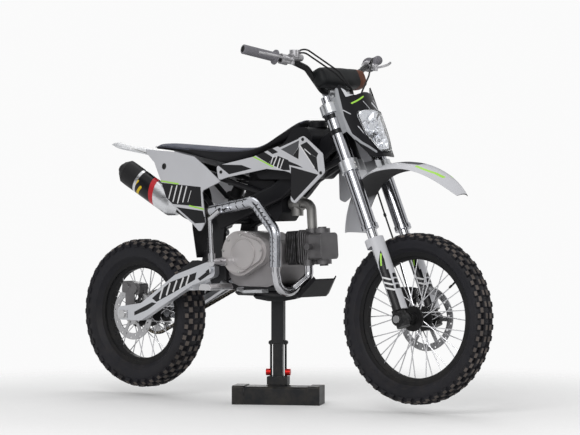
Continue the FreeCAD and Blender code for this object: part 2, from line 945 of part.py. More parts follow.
def front_axle_bar():
    """The wheel spindle with a head and a nut outside the fork feet."""
    reach = leg_y + fork_foot_r
    bar = disc(front_axle, Vector(0, 1, 0), axle_r, 2 * reach)
    ends = []
    for side in SIDES:
        middle = front_axle + Vector(0, side * (reach + axle_r / 2), 0)
        ends.append(disc(middle, Vector(0, 1, 0), axle_r * 1.7, axle_r))
    spacer_out = leg_y - fork_foot_r
    spacers = []
    for side in SIDES:
        near = front_axle + Vector(0, side * (front_hub_half + seat_gap), 0)
        far = front_axle + Vector(0, side * spacer_out, 0)
        spacers.append(rod(near, far, axle_r * 1.7))
    return joined([bar] + ends + spacers)


def bar_points(side):
    """The handlebar's centre line from the middle out to one tip."""
    return [
        Vector(bar_mid_x, side * bar_mid_half, bar_mid_z),
        Vector(bar_knee_x, side * bar_knee_y, bar_knee_z),
        Vector(bar_shoulder_x, side * bar_shoulder_y, bar_shoulder_z),
        Vector(bar_tip_x, side * bar_tip_y, bar_tip_z),
    ]


def handlebar():
    """The bent bar with its cross brace."""
    right = bar_points(RIGHT)
    left = bar_points(LEFT)
    route = right[::-1] + left
    bar = pipe(route, bar_r, bar_r * 4)
    start = right[0] + (right[1] - right[0]) * brace_share
    end = Vector(start.x, -start.y, start.z)
    return joined([bar, rod(start, end, brace_r)])


def bar_pad():
    """The thick foam block round the cross brace."""
    brace = bar_points(RIGHT)[0] + (bar_points(RIGHT)[1] - bar_points(RIGHT)[0]) * brace_share
    brace.y = 0
    middle = brace + Vector(pad_ahead, 0, 0)
    pad = block(pad_d, pad_len, pad_h, middle)
    pad = pad.makeFillet(pad_h * 0.3, pad.Edges)
    pad.rotate(middle, Vector(0, 1, 0), -rake_deg)
    return pad.cut(handlebar()).cut(triple_clamps())


def along_grip(side, distance):
    """A point on the outer bar, measured in from the tip."""
    shoulder, tip = bar_points(side)[2:]
    return tip + (shoulder - tip) * (distance / (shoulder - tip).Length)


def grips():
    """Two ribbed grips with inner flanges."""
    both = []
    for side in SIDES:
        tip = along_grip(side, -3 * running_gap)
        inner = along_grip(side, grip_len)
        flange = along_grip(side, grip_len + grip_flange_t)
        body = rod(tip, inner, grip_r)
        ring = rod(inner, flange, grip_flange_r)
        bar = rod(tip, flange + (flange - inner), bar_r)
        both.append(joined([body, ring]).cut(bar))
    return Part.makeCompound(both)


def lever_set(side, with_reservoir):
    """A perch clamped on the bar, a lever blade and, for the brake, a fluid body."""
    inward = grip_len + grip_flange_t + perch_len * 1.2
    spot = along_grip(side, inward)
    axis = along_grip(side, inward + perch_len) - spot
    perch = disc(spot, axis, perch_r, perch_len).cut(disc(spot, axis, bar_r, perch_len * 2))
    pivot = spot + Vector(perch_r * 2.1, 0, -perch_r * 0.35)
    arm = rod(spot + Vector(bar_r * 1.2, 0, 0), pivot, perch_r * 0.62)
    tip = along_grip(side, bar_r) + Vector(grip_r * 3.4, 0, -perch_r * 0.5)
    blade_line = tip - pivot
    blade = pipe(
        [pivot, pivot + blade_line * 0.2 + Vector(lever_w, 0, 0), pivot + blade_line * 0.6 + Vector(lever_w, 0, 0), tip],
        lever_t / 2,
        lever_w * 4,
    )
    parts = [perch, arm, disc(pivot, Vector(0, 0, 1), lever_w / 2, perch_r * 1.3), blade]
    if with_reservoir:
        body_in = spot + Vector(perch_r * 1.5, 0, perch_r * 0.4)
        far = body_in + Vector(0, -side * reservoir_len, 0) + (axis * (1 / axis.Length)) * 0
        parts.append(rod(body_in, far, reservoir_r * 0.8))
        cup = body_in + (far - body_in) * 0.45
        parts.append(rod(cup, cup + Vector(0, 0, reservoir_r * 1.7), reservoir_r * 1.25))
    whole = joined(parts)
    return whole.cut(disc(spot, axis, bar_r, perch_len * 4))


mask_shares = [
    (0.10, 0.86),
    (0.48, 0.83),
    (0.70, 0.86),
    (0.80, 1.0),
    (0.94, 0.97),
    (1.0, 0.84),
    (1.0, 0.42),
    (0.86, 0.24),
    (0.62, 0.02),
    (0.30, 0.0),
]


def control_cables(levers):
    """The throttle cable and brake hose from the right lever, and the clutch cable from the left."""
    clutch = along_grip(LEFT, grip_len + grip_flange_t + perch_len * 1.2)
    brake = along_grip(RIGHT, grip_len + grip_flange_t + perch_len * 1.2)
    lamp = headlight()
    cables = []
    for start, side, apart in ((brake, RIGHT, 1.0), (brake, RIGHT, 3.6), (clutch, LEFT, 1.0)):
        off = hose_r * 2 * apart
        points = [
            start + Vector(perch_r * 0.8, side * -off, perch_r * 0.3),
            start + Vector(perch_r * 3.0, side * -perch_r * 2.2, perch_r * 1.2 + off),
            leg_point(upper_clamp_at + perch_len * 4, pad_d + off, side * pad_len * 0.36),
            leg_point(upper_clamp_at + perch_len * 1.6, pad_d + off * 0.6, side * (perch_r + off)),
            leg_point(upper_clamp_at, lamp_back * 0.7, side * (perch_r * 0.6 + off)),
            leg_point(lamp_top_at - perch_r * 1.4, lamp_back * 0.7, side * (perch_r * 0.6 + off)),
            leg_point(lamp_top_at - perch_r * 2.0, lamp_back + overrun / 2, side * (perch_r * 0.6 + off)),
        ]
        cable = pipe(points, hose_r, hose_bend).cut(levers).cut(lamp)
        cables.append(max(cable.Solids, key=lambda solid: solid.Volume))
    return Part.makeCompound(cables)


def headlight_mask():
    """A curved number-plate shell with ears, cut open round the lamp."""
    outline = [leg_point(mask_foot_at + (mask_top_at - mask_foot_at) * b, 0, mask_half_w * a) for a, b in mask_shares]
    outline += [Vector(p.x, -p.y, p.z) for p in outline[::-1]]
    prism = Part.Face(rounded_wire(outline, mask_half_w * 0.10)).extrude(ahead_leg * mask_front * 1.4)
    low = leg_point(mask_foot_at - overrun)
    skin = []
    for inset in (0, mask_t):
        side_r = mask_side - inset
        ends = [low + ahead_leg * side_r + Vector(0, sign * (mask_half_w - inset * 0.4), 0) for sign in (-1, 1)]
        nose = low + ahead_leg * (mask_front - inset)
        arc = Part.Arc(ends[0], nose, ends[1]).toShape()
        back = [low + Vector(0, sign * (mask_half_w - inset * 0.4), 0) for sign in (1, -1)]
        lines = [
            Part.LineSegment(ends[1], back[0]).toShape(),
            Part.LineSegment(back[0], back[1]).toShape(),
            Part.LineSegment(back[1], ends[0]).toShape(),
        ]
        face = Part.Face(Part.Wire([arc] + lines))
        skin.append(face.extrude(up_leg * (mask_top_at - mask_foot_at + 2 * overrun)))
    inner = skin[1].copy()
    inner.translate(ahead_leg * -running_gap)
    shell = skin[0].cut(inner).common(prism)
    keep = Part.makeBox(mask_front * 2, mask_half_w * 3, (mask_top_at - mask_foot_at) * 2)
    keep.translate(Vector(0, -mask_half_w * 1.5, -overrun * 3))
    keep.rotate(Vector(0, 0, 0), Vector(0, 1, 0), -rake_deg)
    keep.translate(leg_point(mask_foot_at, mask_back))
    shell = shell.common(keep).cut(lamp_prism(0))
    legs = [rod(leg_point(upper_tube_foot, 0, side * leg_y), leg_point(upper_tube_top, 0, side * leg_y), upper_tube_r)
            for side in SIDES]
    return joined([shell] + mask_straps()).cut(Part.makeCompound(legs))


lamp_shares = [(0.94, 1.0), (1.0, 0.90), (0.90, 0.45), (0.48, 0.02), (0.30, 0.0)]


def lamp_prism(grow):
    """The lamp's outline as a prism that runs ahead of the legs."""
    half = lamp_half_w + grow
    low = lamp_foot_at - grow
    high = lamp_top_at + grow
    outline = [leg_point(low + (high - low) * b, lamp_back, half * a) for a, b in lamp_shares]
    outline += [Vector(p.x, -p.y, p.z) for p in outline[::-1]]
    return Part.Face(rounded_wire(outline, lamp_half_w * 0.1)).extrude(ahead_leg * mask_front * 2)


def headlight():
    """The lamp body with a bulging face."""
    low = leg_point(lamp_foot_at - overrun)
    high_run = up_leg * (lamp_top_at - lamp_foot_at + 2 * overrun)
    nose = low + ahead_leg * (mask_front + lamp_bulge)
    ends = [low + ahead_leg * (mask_side + lamp_bulge) + Vector(0, sign * mask_half_w, 0) for sign in (-1, 1)]
    arc = Part.Arc(ends[0], nose, ends[1]).toShape()
    lines = [
        Part.LineSegment(ends[1], low + Vector(0, mask_half_w, 0)).toShape(),
        Part.LineSegment(low + Vector(0, mask_half_w, 0), low - Vector(0, mask_half_w, 0)).toShape(),
        Part.LineSegment(low - Vector(0, mask_half_w, 0), ends[0]).toShape(),
    ]
    bulk = Part.Face(Part.Wire([arc] + lines)).extrude(high_run)
    return bulk.common(lamp_prism(0))


def mask_straps():
    """Two straps round each upper leg that carry the mask."""
    straps = []
    for side in SIDES:
        for share in strap_shares:
            at = mask_foot_at + (mask_top_at - mask_foot_at) * share
            middle = leg_point(at, 0, side * leg_y)
            ring = disc(middle, up_leg, upper_tube_r + guard_t, collar_h)
            tab_far = middle + ahead_leg * (mask_side - mask_t / 2) + Vector(0, side * (mask_half_w - leg_y - mask_t), 0)
            tab = rod(middle, tab_far, collar_h * 0.36)
            straps.append(joined([ring, tab]))
    return straps


fender_spine_shares = [(1.0, 0.566), (0.90, 0.75), (0.76, 0.91), (0.58, 1.0), (0.38, 0.985), (0.20, 0.86), (0.08, 0.60), (0.02, 0.30), (0.0, 0.0)]
fender_width_shares = [0.42, 0.74, 0.92, 1.0, 1.0, 0.97, 0.90, 0.84, 0.80]


def fender_sections():
    """Where the front mudguard's cross sections stand: place, facing and half width."""
    span = fender_tip_x - fender_tail_x
    rise = fender_top_z - fender_tail_z
    spine = [Vector(fender_tail_x + span * a, 0, fender_tail_z + rise * b) for a, b in fender_spine_shares]
    sections = []
    for i, spot in enumerate(spine):
        before = spine[max(i - 1, 0)]
        after = spine[min(i + 1, len(spine) - 1)]
        along = (after - before).normalize()
        outward = Vector(-along.z, 0, along.x) * -1
        sections.append((spot, outward, fender_half_w * fender_width_shares[i]))
    return sections


def front_fender():
    """A long crowned shell over the wheel with a flap down behind it."""
    wires = []
    for spot, out, half in fender_sections():
        crown = fender_lip * half / fender_half_w
        a = spot - out * crown + Vector(0, half, 0)
        b = spot - out * crown - Vector(0, half, 0)
        outer = Part.Arc(a, spot, b).toShape()
        a_in = spot - out * crown + Vector(0, half - fender_t, 0)
        b_in = spot - out * crown - Vector(0, half - fender_t, 0)
        inner = Part.Arc(b_in, spot - out * fender_t, a_in).toShape()
        wires.append(Part.Wire([
            outer,
            Part.LineSegment(b, b_in).toShape(),
            inner,
            Part.LineSegment(a_in, a).toShape(),
        ]))
    return Part.makeLoft(wires, True, False)


def caliper(middle, lean_deg, disc_y):
    """A two-piston brake body that straddles its disc."""
    body = block(caliper_len, caliper_t, caliper_h, middle)
    body = body.makeFillet(caliper_h * 0.22, [e for e in body.Edges if abs(e.tangentAt(e.FirstParameter).y) > 0.9])
    pistons = [
        disc(middle + Vector(sign * caliper_len * 0.24, caliper_t * 0.5 * math.copysign(1, disc_y), 0), Vector(0, 1, 0),
             caliper_h * 0.36, caliper_h * 0.3)
        for sign in (-1, 1)
    ]
    whole = joined([body] + pistons)
    whole.rotate(middle, Vector(0, 1, 0), lean_deg)
    return whole


def front_brake_caliper():
    """The front caliper behind the left leg, with its lug on the fork foot."""
    middle = leg_point(front_disc_r * 0.80, -front_disc_r * 0.42, front_disc_y)
    body = caliper(middle, -rake_deg - 90 + 28, front_disc_y)
    gap = disc(front_axle + Vector(0, front_disc_y, 0), Vector(0, 1, 0), front_disc_r + overrun, disc_t + overrun)
    body = body.cut(gap)
    wall = leg_y - slider_r
    lug_top = leg_point(front_disc_r * 0.80, 0, leg_y)
    ear = rod(Vector(middle.x, leg_y - slider_r * 0.6, middle.z), lug_top, caliper_h * 0.3)
    post = rod(Vector(middle.x, front_disc_y + caliper_t * 0.4, middle.z), Vector(middle.x, wall + caliper_h * 0.3, middle.z),
               caliper_h * 0.3)
    clear = rod(leg_point(0, 0, leg_y), leg_point(upper_tube_foot, 0, leg_y), slider_r)
    return joined([body, post, ear]).cut(clear)


def head_and_spars():
    """Head tube and twin spars that run back and down to the pivot plates."""
    low = leg_point(lower_clamp_at + lower_clamp_h / 2 + head_gap, -clamp_offset)
    top = leg_point(upper_clamp_at - upper_clamp_h / 2 - head_gap, -clamp_offset)
    parts = [rod(low, top, head_tube_r)]
    span = top - low
    upper_join = low + span * 0.74
    lower_join = low + span * 0.22
    for side in SIDES:
        knee = Vector(spar_knee_x, side * spar_half, spar_knee_z)
        foot = Vector(plate_x + plate_w * 0.1, side * plate_half, plate_top_z - spar_r)
        near = upper_join + Vector(0, side * head_tube_r * 0.64, 0)
        parts.append(beam([near, knee, foot], spar_h, spar_w, spar_h * 2))
        brace_end = knee + (foot - knee) * 0.16
        parts.append(rod(lower_join + Vector(0, side * head_tube_r * 0.52, 0), brace_end, cradle_r))
    return parts


def pivot_plates():
    """Side plates that carry engine, swingarm and pegs."""
    parts = []
    rise = plate_top_z - plate_foot_z
    shares = [(0.30, 0.0), (1.0, 0.0), (1.0, 0.22), (0.80, 0.5), (0.95, 1.0), (0.25, 1.0), (0.0, 0.62), (0.0, 0.2)]
    points = spread(shares, plate_x - plate_w / 2, plate_x + plate_w / 2, plate_foot_z, plate_foot_z + rise)
    for side in SIDES:
        inner = side * (plate_half - plate_t / 2)
        parts.append(slab(points, plate_t, inner, inner + side * plate_t))
    x = plate_x + plate_w * 0.15
    z = plate_top_z - spar_r
    parts.append(rod(Vector(x, -plate_half, z), Vector(x, plate_half, z), cradle_r))
    return parts


def cradle():
    """Lower rails under the engine."""
    parts = []
    z = case_foot_z - cradle_r * 0.5
    for side in SIDES:
        rear = Vector(plate_x + plate_w * 0.2, side * plate_half, plate_foot_z + cradle_r)
        bend = Vector(plate_x + plate_w * 1.0, side * cradle_half, z)
        front = Vector(cradle_front_x, side * cradle_half, z)
        parts.append(pipe([rear, bend, front], cradle_r, cradle_r * 5))
    for x in (cradle_front_x - cradle_r * 1.3, plate_x + plate_w * 1.1):
        half = cradle_half - cradle_r * 0.3
        parts.append(rod(Vector(x, -half, z), Vector(x, half, z), cradle_r * 0.8))
    return parts


def main_frame():
    """The whole welded frame with its seat rails and small lugs."""
    whole = joined(head_and_spars() + pivot_plates() + cradle() + seat_rails() + [side_stand_bracket(), silencer_hanger()])
    low = leg_point(lower_clamp_at, -clamp_offset)
    top = leg_point(upper_clamp_at, -clamp_offset)
    whole = whole.cut(rod(low, top, stem_r + running_gap))
    whole = whole.cut(rod(Vector(pivot_x, -plate_half * 2, pivot_z), Vector(pivot_x, plate_half * 2, pivot_z), pivot_bolt_r))
    return whole.cut(silencer())


def rail_ends(side):
    """The knee and the tail of one seat rail."""
    knee = Vector(plate_x, side * spar_half, rail_knee_z)
    return knee, Vector(subframe_tail_x, side * subframe_half, subframe_tail_z)


def seat_rails():
    """Seat rails and their lower stays, joined by a tail hoop and the damper's cross tube."""
    parts = []
    for side in SIDES:
        root = Vector(rail_root_x, side * spar_half, rail_root_z)
        knee, tail = rail_ends(side)
        parts.append(pipe([root, knee, tail], subframe_r, subframe_r * 6))
        low = Vector(plate_x + plate_w * 0.15, side * stay_half, plate_top_z - spar_r)
        meet = knee + (tail - knee) * 0.62
        parts.append(rod(low, meet, subframe_r * 0.85))
    tail_x = subframe_tail_x + subframe_r
    half = subframe_half - subframe_r * 0.3
    parts.append(rod(Vector(tail_x, -half, subframe_tail_z), Vector(tail_x, half, subframe_tail_z), subframe_r * 0.8))
    half = spar_half - subframe_r * 0.3
    parts.append(rod(Vector(shock_top_x, -half, shock_top_z), Vector(shock_top_x, half, shock_top_z), shock_eye_r * 0.5))
    return parts


def engine_case():
    """The crankcase with its sprocket bay, output shaft and left cover."""
    points = spread(case_shares, case_rear_x, case_front_x, case_foot_z, case_top_z)
    body = slab(points, cover_lip * 6, -case_half, case_half)
    bay_in = chain_y - chain_stack / 2 - chain_clear
    shaft = Vector(front_sprocket_x, bay_in, front_sprocket_z)
    bay = Part.makeCylinder(sprocket_bay_r, case_half, shaft, Vector(0, 1, 0))
    low = front_sprocket_z - sprocket_bay_r * 1.5
    behind = Part.makeBox(front_sprocket_x - case_rear_x + overrun, case_half, 2.5 * sprocket_bay_r,
                          Vector(case_rear_x - overrun, bay_in, low))
    body = body.cut(joined([bay, behind]))
    tip = shaft + Vector(0, chain_stack / 2 + chain_clear + sprocket_t / 2, 0)
    spindle = rod(shaft - Vector(0, overrun, 0), tip, axle_r)
    nut = rod(tip, tip + Vector(0, axle_r * 0.7, 0), axle_r * 1.6)
    return joined([body, spindle, nut] + generator_cover())


def rounded_lozenge(centre_x, centre_z, length, height, y0, y1, big):
    """A side cover: one large round end and a smaller shoulder ahead of it."""
    r = height / 2
    rear_x = centre_x - length / 2 + r
    front_r = r * big
    front_x = centre_x + length / 2 - front_r
    wire = belt_outline(Vector(rear_x, 0, centre_z), Vector(front_x, 0, centre_z + r * 0.12), r, front_r, y0)
    return Part.Face(wire).extrude(Vector(0, y1 - y0, 0))


def clutch_cover():
    """The right engine cover, with a raised round clutch boss and a lip."""
    base = rounded_lozenge(cover_x, cover_z, cover_len, cover_h, -case_half, -(cover_out - cover_lip * 4), 0.62)
    upper = rounded_lozenge(cover_x, cover_z, cover_len - cover_lip * 5, cover_h - cover_lip * 5,
                            -(cover_out - cover_lip * 4), -(cover_out - cover_lip), 0.6)
    boss_at = Vector(cover_x + cover_disc_r * 0.12, 0, cover_z)
    boss = Part.makeCylinder(cover_disc_r, cover_out - case_half, boss_at - Vector(0, cover_out, 0), Vector(0, 1, 0))
    ring = disc(boss_at - Vector(0, cover_out, 0), Vector(0, 1, 0), cover_disc_r - cover_lip, cover_lip * 0.8)
    whole = joined([base, upper, boss]).cut(ring)
    shaft = Vector(kick_shaft_x, 0, kick_shaft_z)
    sleeve = rod(shaft - Vector(0, case_half, 0), shaft - Vector(0, cover_out, 0), kick_r * 2)
    return joined([whole, sleeve]).cut(rod(shaft, shaft - Vector(0, cover_out * 2, 0), kick_r))


def generator_cover():
    """The round left cover in two steps."""
    middle = Vector(cover_x + cover_disc_r, case_half - overrun, cover_z)
    out = left_cover_out - case_half + overrun
    base = Part.makeCylinder(cover_h * 0.44, out - cover_lip, middle, Vector(0, 1, 0))
    face = Part.makeCylinder(cover_h * 0.36, out, middle, Vector(0, 1, 0))
    return [base, face]


def barrel_frame(along, side=0.0, up=0.0):
    """A point in the tilted frame of the cylinder, from the case face forwards."""
    tilt = math.radians(barrel_tilt_deg)
    forward = Vector(math.cos(tilt), 0, math.sin(tilt))
    rise = Vector(-math.sin(tilt), 0, math.cos(tilt))
    return Vector(case_front_x, 0, barrel_z) + forward * along + Vector(0, side, 0) + rise * up


def tilted_box(start, length, width, height, radius):
    """A rounded block along the cylinder's axis."""
    box = Part.makeBox(length, width, height, Vector(0, -width / 2, -height / 2))
    if radius:
        box = box.makeFillet(radius, [e for e in box.Edges if abs(e.tangentAt(e.FirstParameter).x) > 0.9])
    box.rotate(Vector(0, 0, 0), Vector(0, 1, 0), -barrel_tilt_deg)
    box.translate(barrel_frame(start))
    return box


def cylinder_barrel():
    """The finned barrel."""
    length = fin_pitch * fin_count
    forward = barrel_frame(1) - barrel_frame(0)
    core = Part.makeCylinder(barrel_r, length, barrel_frame(0), forward)
    parts = [core]
    for i in range(fin_count):
        size = 2 * fin_half * (1.0 if 0 < i < fin_count - 1 else 0.92)
        parts.append(tilted_box(fin_pitch * (i + 0.5), fin_t, size, size * 0.92, fin_half * 0.22))
    return joined(parts)


def cylinder_head():
    """The finned head with ports, two valve caps, the cam cover and the spark plug."""
    start = fin_pitch * fin_count
    parts = [tilted_box(start, head_len, head_core, head_core, head_core * 0.16)]
    for i in range(head_fin_count):
        size = fin_half * 1.9 * (1 - 0.05 * i)
        parts.append(tilted_box(start + fin_pitch * (i + 0.6), fin_t, size, size, fin_half * 0.2))
    cap_at = start + head_len - valve_cap_r * 1.05
    for sign in (-1, 1):
        foot = barrel_frame(cap_at, 0, sign * head_core / 2)
        top = barrel_frame(cap_at, 0, sign * (head_core / 2 + valve_cap_h))
        parts.append(rod(foot - (top - foot) * 0.3, top, valve_cap_r))
        parts.append(rod(top, top + (top - foot) * 0.35, valve_cap_r * 0.55))
    cam = barrel_frame(cap_at - valve_cap_r * 0.3, head_core / 2)
    parts.append(rod(cam - Vector(0, overrun, 0), cam + Vector(0, valve_cap_h * 0.6, 0), valve_cap_r))
    plug = barrel_frame(cap_at - valve_cap_r * 0.6, -head_core / 2)
    parts.append(rod(plug + Vector(0, overrun, 0), plug + Vector(fin_t, -plug_r * 2.4, 0), plug_r))
    parts.append(rod(barrel_frame(intake_along(), 0, head_core * 0.3), intake_top(), intake_r * 1.35))
    parts.append(rod(barrel_frame(port_x - case_front_x, port_y, -head_core * 0.3), exhaust_port(), pipe_r * 1.3))
    return joined(parts)


def intake_along():
    """How far along the cylinder the intake port lies."""
    return fin_pitch * fin_count + intake_r * 1.25


def exhaust_port():
    """The middle of the exhaust flange below the head."""
    return barrel_frame(port_x - case_front_x, port_y, -fin_half)


def intake_top():
    """Where the intake stub leaves the head."""
    return barrel_frame(intake_along(), 0, fin_half)


def carburettor():
    """The curved stub, the carburettor body with its float bowl and slide, and the boot."""
    foot = intake_top()
    rise = barrel_frame(0, 0, 1) - barrel_frame(0)
    carb = Vector(carb_x - carb_r, 0, carb_z)
    bend = foot + rise * ((carb_z - foot.z) / rise.z)
    stub = pipe([foot, bend, carb], intake_r, intake_r * 1.8)
    body = disc(carb - Vector(carb_r * 0.2, 0, 0), Vector(1, 0, 0), carb_r, carb_r * 2)
    bowl = disc(carb - Vector(carb_r * 0.2, 0, carb_r * 1.1), Vector(0, 0, 1), carb_r * 0.86, carb_r * 1.4)
    slide = disc(carb - Vector(carb_r * 0.2, 0, -carb_r * 1.1), Vector(0, 0, 1), carb_r * 0.62, carb_r * 1.4)
    boot = rod(carb, Vector(air_box_front_x, 0, carb_z), intake_r)
    return joined([stub, body, bowl, slide, boot])


air_box_shares = [(0.0, 0.55), (0.14, 1.0), (0.80, 1.0), (1.0, 0.80), (1.0, 0.22), (0.86, 0.0), (0.30, 0.0), (0.04, 0.22)]


def air_box():
    """The black plastic box behind the carburettor, between the spars."""
    points = spread(air_box_shares, air_box_rear_x, air_box_front_x, air_box_foot_z, air_box_top_z)
    return slab(points, air_box_half * 0.3, -air_box_half, air_box_half)


def exhaust_route():
    """The header's centre line from the port to the silencer."""
    low = exhaust_low_z
    down = barrel_frame(0) - barrel_frame(0, 0, 1)
    return [
        exhaust_port(),
        exhaust_port() + down * (pipe_r * 2.4),
        Vector(port_x - pipe_r * 0.7, -case_half * 1.5, low),
        Vector(riser_x + pipe_r * 0.6, -exhaust_side_y * 0.96, low + pipe_r * 1.0),
        Vector(riser_x, -exhaust_side_y, low + pipe_r * 5),
        Vector(riser_x, -exhaust_side_y, exhaust_top_z - shield_r * 5),
        Vector(exhaust_knee_x, -exhaust_side_y * 0.97, exhaust_top_z),
        Vector(kick_shaft_x - pipe_r, -exhaust_side_y * 0.83, exhaust_rear_z),
        Vector(plate_x - plate_w * 0.25, -exhaust_side_y * 0.61, exhaust_rear_z - pipe_r * 0.5),
        silencer_point(-pipe_r * 3.2),
        silencer_point(pipe_r * 0.5),
    ]


def silencer_point(along, side=0.0, up=0.0):
    """A point in the frame of the silencer, from its front end rearwards."""
    pitch = math.radians(silencer_pitch_deg)
    yaw = math.radians(silencer_yaw_deg)
    back = Vector(-math.cos(pitch) * math.cos(yaw), -math.sin(yaw), math.sin(pitch) * math.cos(yaw))
    rise = Vector(math.sin(pitch), 0, math.cos(pitch))
    across = rise.cross(back).normalize()
    return Vector(silencer_front_x, -silencer_y, silencer_front_z) + back * along + across * side + rise * up


def exhaust_pipe():
    """The header pipe."""
    return pipe(exhaust_route(), pipe_r, pipe_r * 3.2)


def shield_slots(line):
    """Cutters for the slanted slot pairs down the riser, the slope and the top run."""
    slots = []
    runs = (
        (line[0], line[1], shield_slot_count, 34),
        (line[1], line[2], shield_slot_count, 34),
        (line[2], line[3], shield_top_slot_count, 20),
    )
    for start, end, count, slant in runs:
        run = end - start
        along = Vector(run).normalize()
        aside = along.cross(Vector(0, 1, 0)).normalize()
        lean = math.degrees(math.atan2(-run.x, run.z))
        for i in range(count):
            spot = start + run * (0.18 + 0.64 * i / (count - 1))
            for sign in (-1, 1):
                place = spot + aside * (sign * shield_r * 0.42) + Vector(0, -shield_r, 0)
                hole = block(shield_r * 0.62, shield_r * 1.5, shield_t * 2.4, place)
                hole.rotate(place, Vector(0, 1, 0), -lean - sign * slant)
                slots.append(hole)
    return slots


def heat_shield():
    """A thin slotted cover that stands off the pipe's riser and top run on three bands."""
    route = exhaust_route()[4:8]
    first = route[0] + (route[1] - route[0]) * 0.12
    last = route[3] + (route[3] - route[2]) * 0.12
    line = [first, route[1], route[2], last]
    path = bent_path(line, pipe_r * 3.2)
    across = Vector(1, 0, 0)
    outward = Vector(0, -1, 0)
    turn = math.radians(shield_half_deg)
    ring = []
    for radius in (shield_r, shield_r - shield_t):
        low = first + outward * (radius * math.cos(turn)) - across * (radius * math.sin(turn))
        high = first + outward * (radius * math.cos(turn)) + across * (radius * math.sin(turn))
        ring.append((low, first + outward * radius, high))
    (a, m, b), (c, n, d) = ring
    section = Part.Wire([
        Part.Arc(a, m, b).toShape(),
        Part.LineSegment(b, d).toShape(),
        Part.Arc(d, n, c).toShape(),
        Part.LineSegment(c, a).toShape(),
    ])
    shell = path.makePipeShell([section], True, False)
    shell = shell.cut(Part.makeCompound(shield_slots(line)))
    bands = []
    for start, end, share in ((line[0], line[1], 0.06), (line[1], line[2], 0.5), (line[2], line[3], 0.9)):
        spot = start + (end - start) * share
        bands.append(disc(spot, end - start, shield_r - shield_t / 2, shield_band_w))
    return joined([shell] + bands)


def silencer():
    """An oval can with a black rear cap, a front cone and an outlet."""
    def oval(along, scale):
        middle = silencer_point(along)
        rise = silencer_point(along, 0, 1) - middle
        across = silencer_point(along, 1) - middle
        circle = Part.Ellipse(middle + rise * (silencer_h * scale / 2), middle + across * (silencer_w * scale / 2), middle)
        return Part.Wire(circle.toShape())

    can = Part.makeLoft([oval(0, 0.55), oval(pipe_r * 2, 0.96), oval(pipe_r * 2.6, 1.0)], True, True)
    back = silencer_point(1) - silencer_point(0)
    body = Part.Face(oval(pipe_r * 2.6, 1.0)).extrude(back * (silencer_len - pipe_r * 2.6))
    tail = Part.makeLoft([oval(silencer_len, 1.0), oval(silencer_len + silencer_cap * 0.5, 0.98),
                          oval(silencer_len + silencer_cap, 0.62)], True, True)
    tip = rod(silencer_point(silencer_len), silencer_point(silencer_len + silencer_cap * 1.2), silencer_tip_r)
    whole = joined([can, body, tail, tip])
    bore = rod(silencer_point(silencer_len + silencer_cap * 0.5), silencer_point(silencer_len + silencer_cap * 2), silencer_tip_r * 0.8)
    return whole.cut(bore).cut(exhaust_pipe())


def silencer_hanger():
    """The bracket from the seat rail to the can."""
    foot = silencer_point(silencer_len * 0.42, -silencer_w / 2 + overrun)
    knee, tail = rail_ends(RIGHT)
    rail = knee + (tail - knee) * ((knee.x - foot.x) / (knee.x - tail.x))
    return rod(foot, rail, subframe_r * 0.6)


def kick_start():
    """The kick lever: shaft, knuckle, arm and folding pedal."""
    shaft = Vector(kick_shaft_x, 0, kick_shaft_z)
    inner = shaft - Vector(0, case_half, 0)
    outer = shaft - Vector(0, kick_out, 0)
    knuckle = rod(shaft - Vector(0, cover_out + seat_gap, 0), outer - Vector(0, kick_r * 0.6, 0), kick_r * 2.1)
    top = Vector(kick_shaft_x - kick_r * 1.2, -kick_out, kick_top_z)
    arm = rod(outer + Vector(0, 0, kick_r * 0.5), top, kick_r)
    crank = rod(outer, outer + (top - outer) * 0.2, kick_r * 1.7)
    pedal = rod(top, top + Vector(pedal_len * 0.86, -kick_r, pedal_len * 0.5), kick_r * 1.25)
    return joined([rod(inner, outer, kick_r), knuckle, arm, crank, pedal])


def foot_pegs():
    """Toothed steel pegs on brackets at the pivot plates."""
    pegs = []
    for side in SIDES:
        tray_x = peg_w / 2
        shares = [(0.0, 0.35), (0.0, 0.0), (1.0, 0.0), (1.0, 0.35), (0.86, 1.0), (0.14, 1.0)]
        points = spread(shares, peg_x - tray_x, peg_x + tray_x, peg_z - peg_h / 2, peg_z + peg_h / 2)
        inner = side * peg_in
        length = peg_out - peg_in
        tread = slab(points, peg_h * 0.2, inner, side * peg_out)
        hollow = Part.makeBox(peg_w * 0.62, length * 0.76, peg_h * 3)
        hollow.translate(Vector(peg_x - peg_w * 0.31, side * (peg_in + length * 0.5) - length * 0.38, peg_z - peg_h * 1.5))
        tread = tread.cut(hollow)
        bar = rod(Vector(peg_x, inner, peg_z), Vector(peg_x, side * (peg_out - peg_h), peg_z), peg_h * 0.24)
        plate_out = plate_half + plate_t / 2
        arm = rod(Vector(plate_x + plate_w * 0.34, side * plate_out, peg_z + peg_h * 0.4), Vector(peg_x, inner * 1.04, peg_z), peg_h * 0.52)
        pegs.append(joined([tread, bar, arm]))
    return Part.makeCompound(pegs)


def brake_pedal():
    """The rear brake pedal that runs forward from the right lower rail, below the cover."""
    z = case_foot_z - cradle_r * 0.5
    out = cover_out + kick_r * 1.6
    route = [
        Vector(pedal_pivot_x, -cradle_half, z),
        Vector(pedal_pivot_x, -peg_in, z),
        Vector(pedal_pivot_x + peg_w, -out, z - kick_r),
        Vector(brake_tip_x, -out, control_z),
        Vector(brake_tip_x + kick_r, -out - kick_r * 3, control_z),
    ]
    arm = pipe(route, kick_r * 0.8, kick_r * 2)
    pad = block(kick_r * 4, kick_r * 4.5, kick_r * 1.4, route[-1])
    return joined([arm, pad])


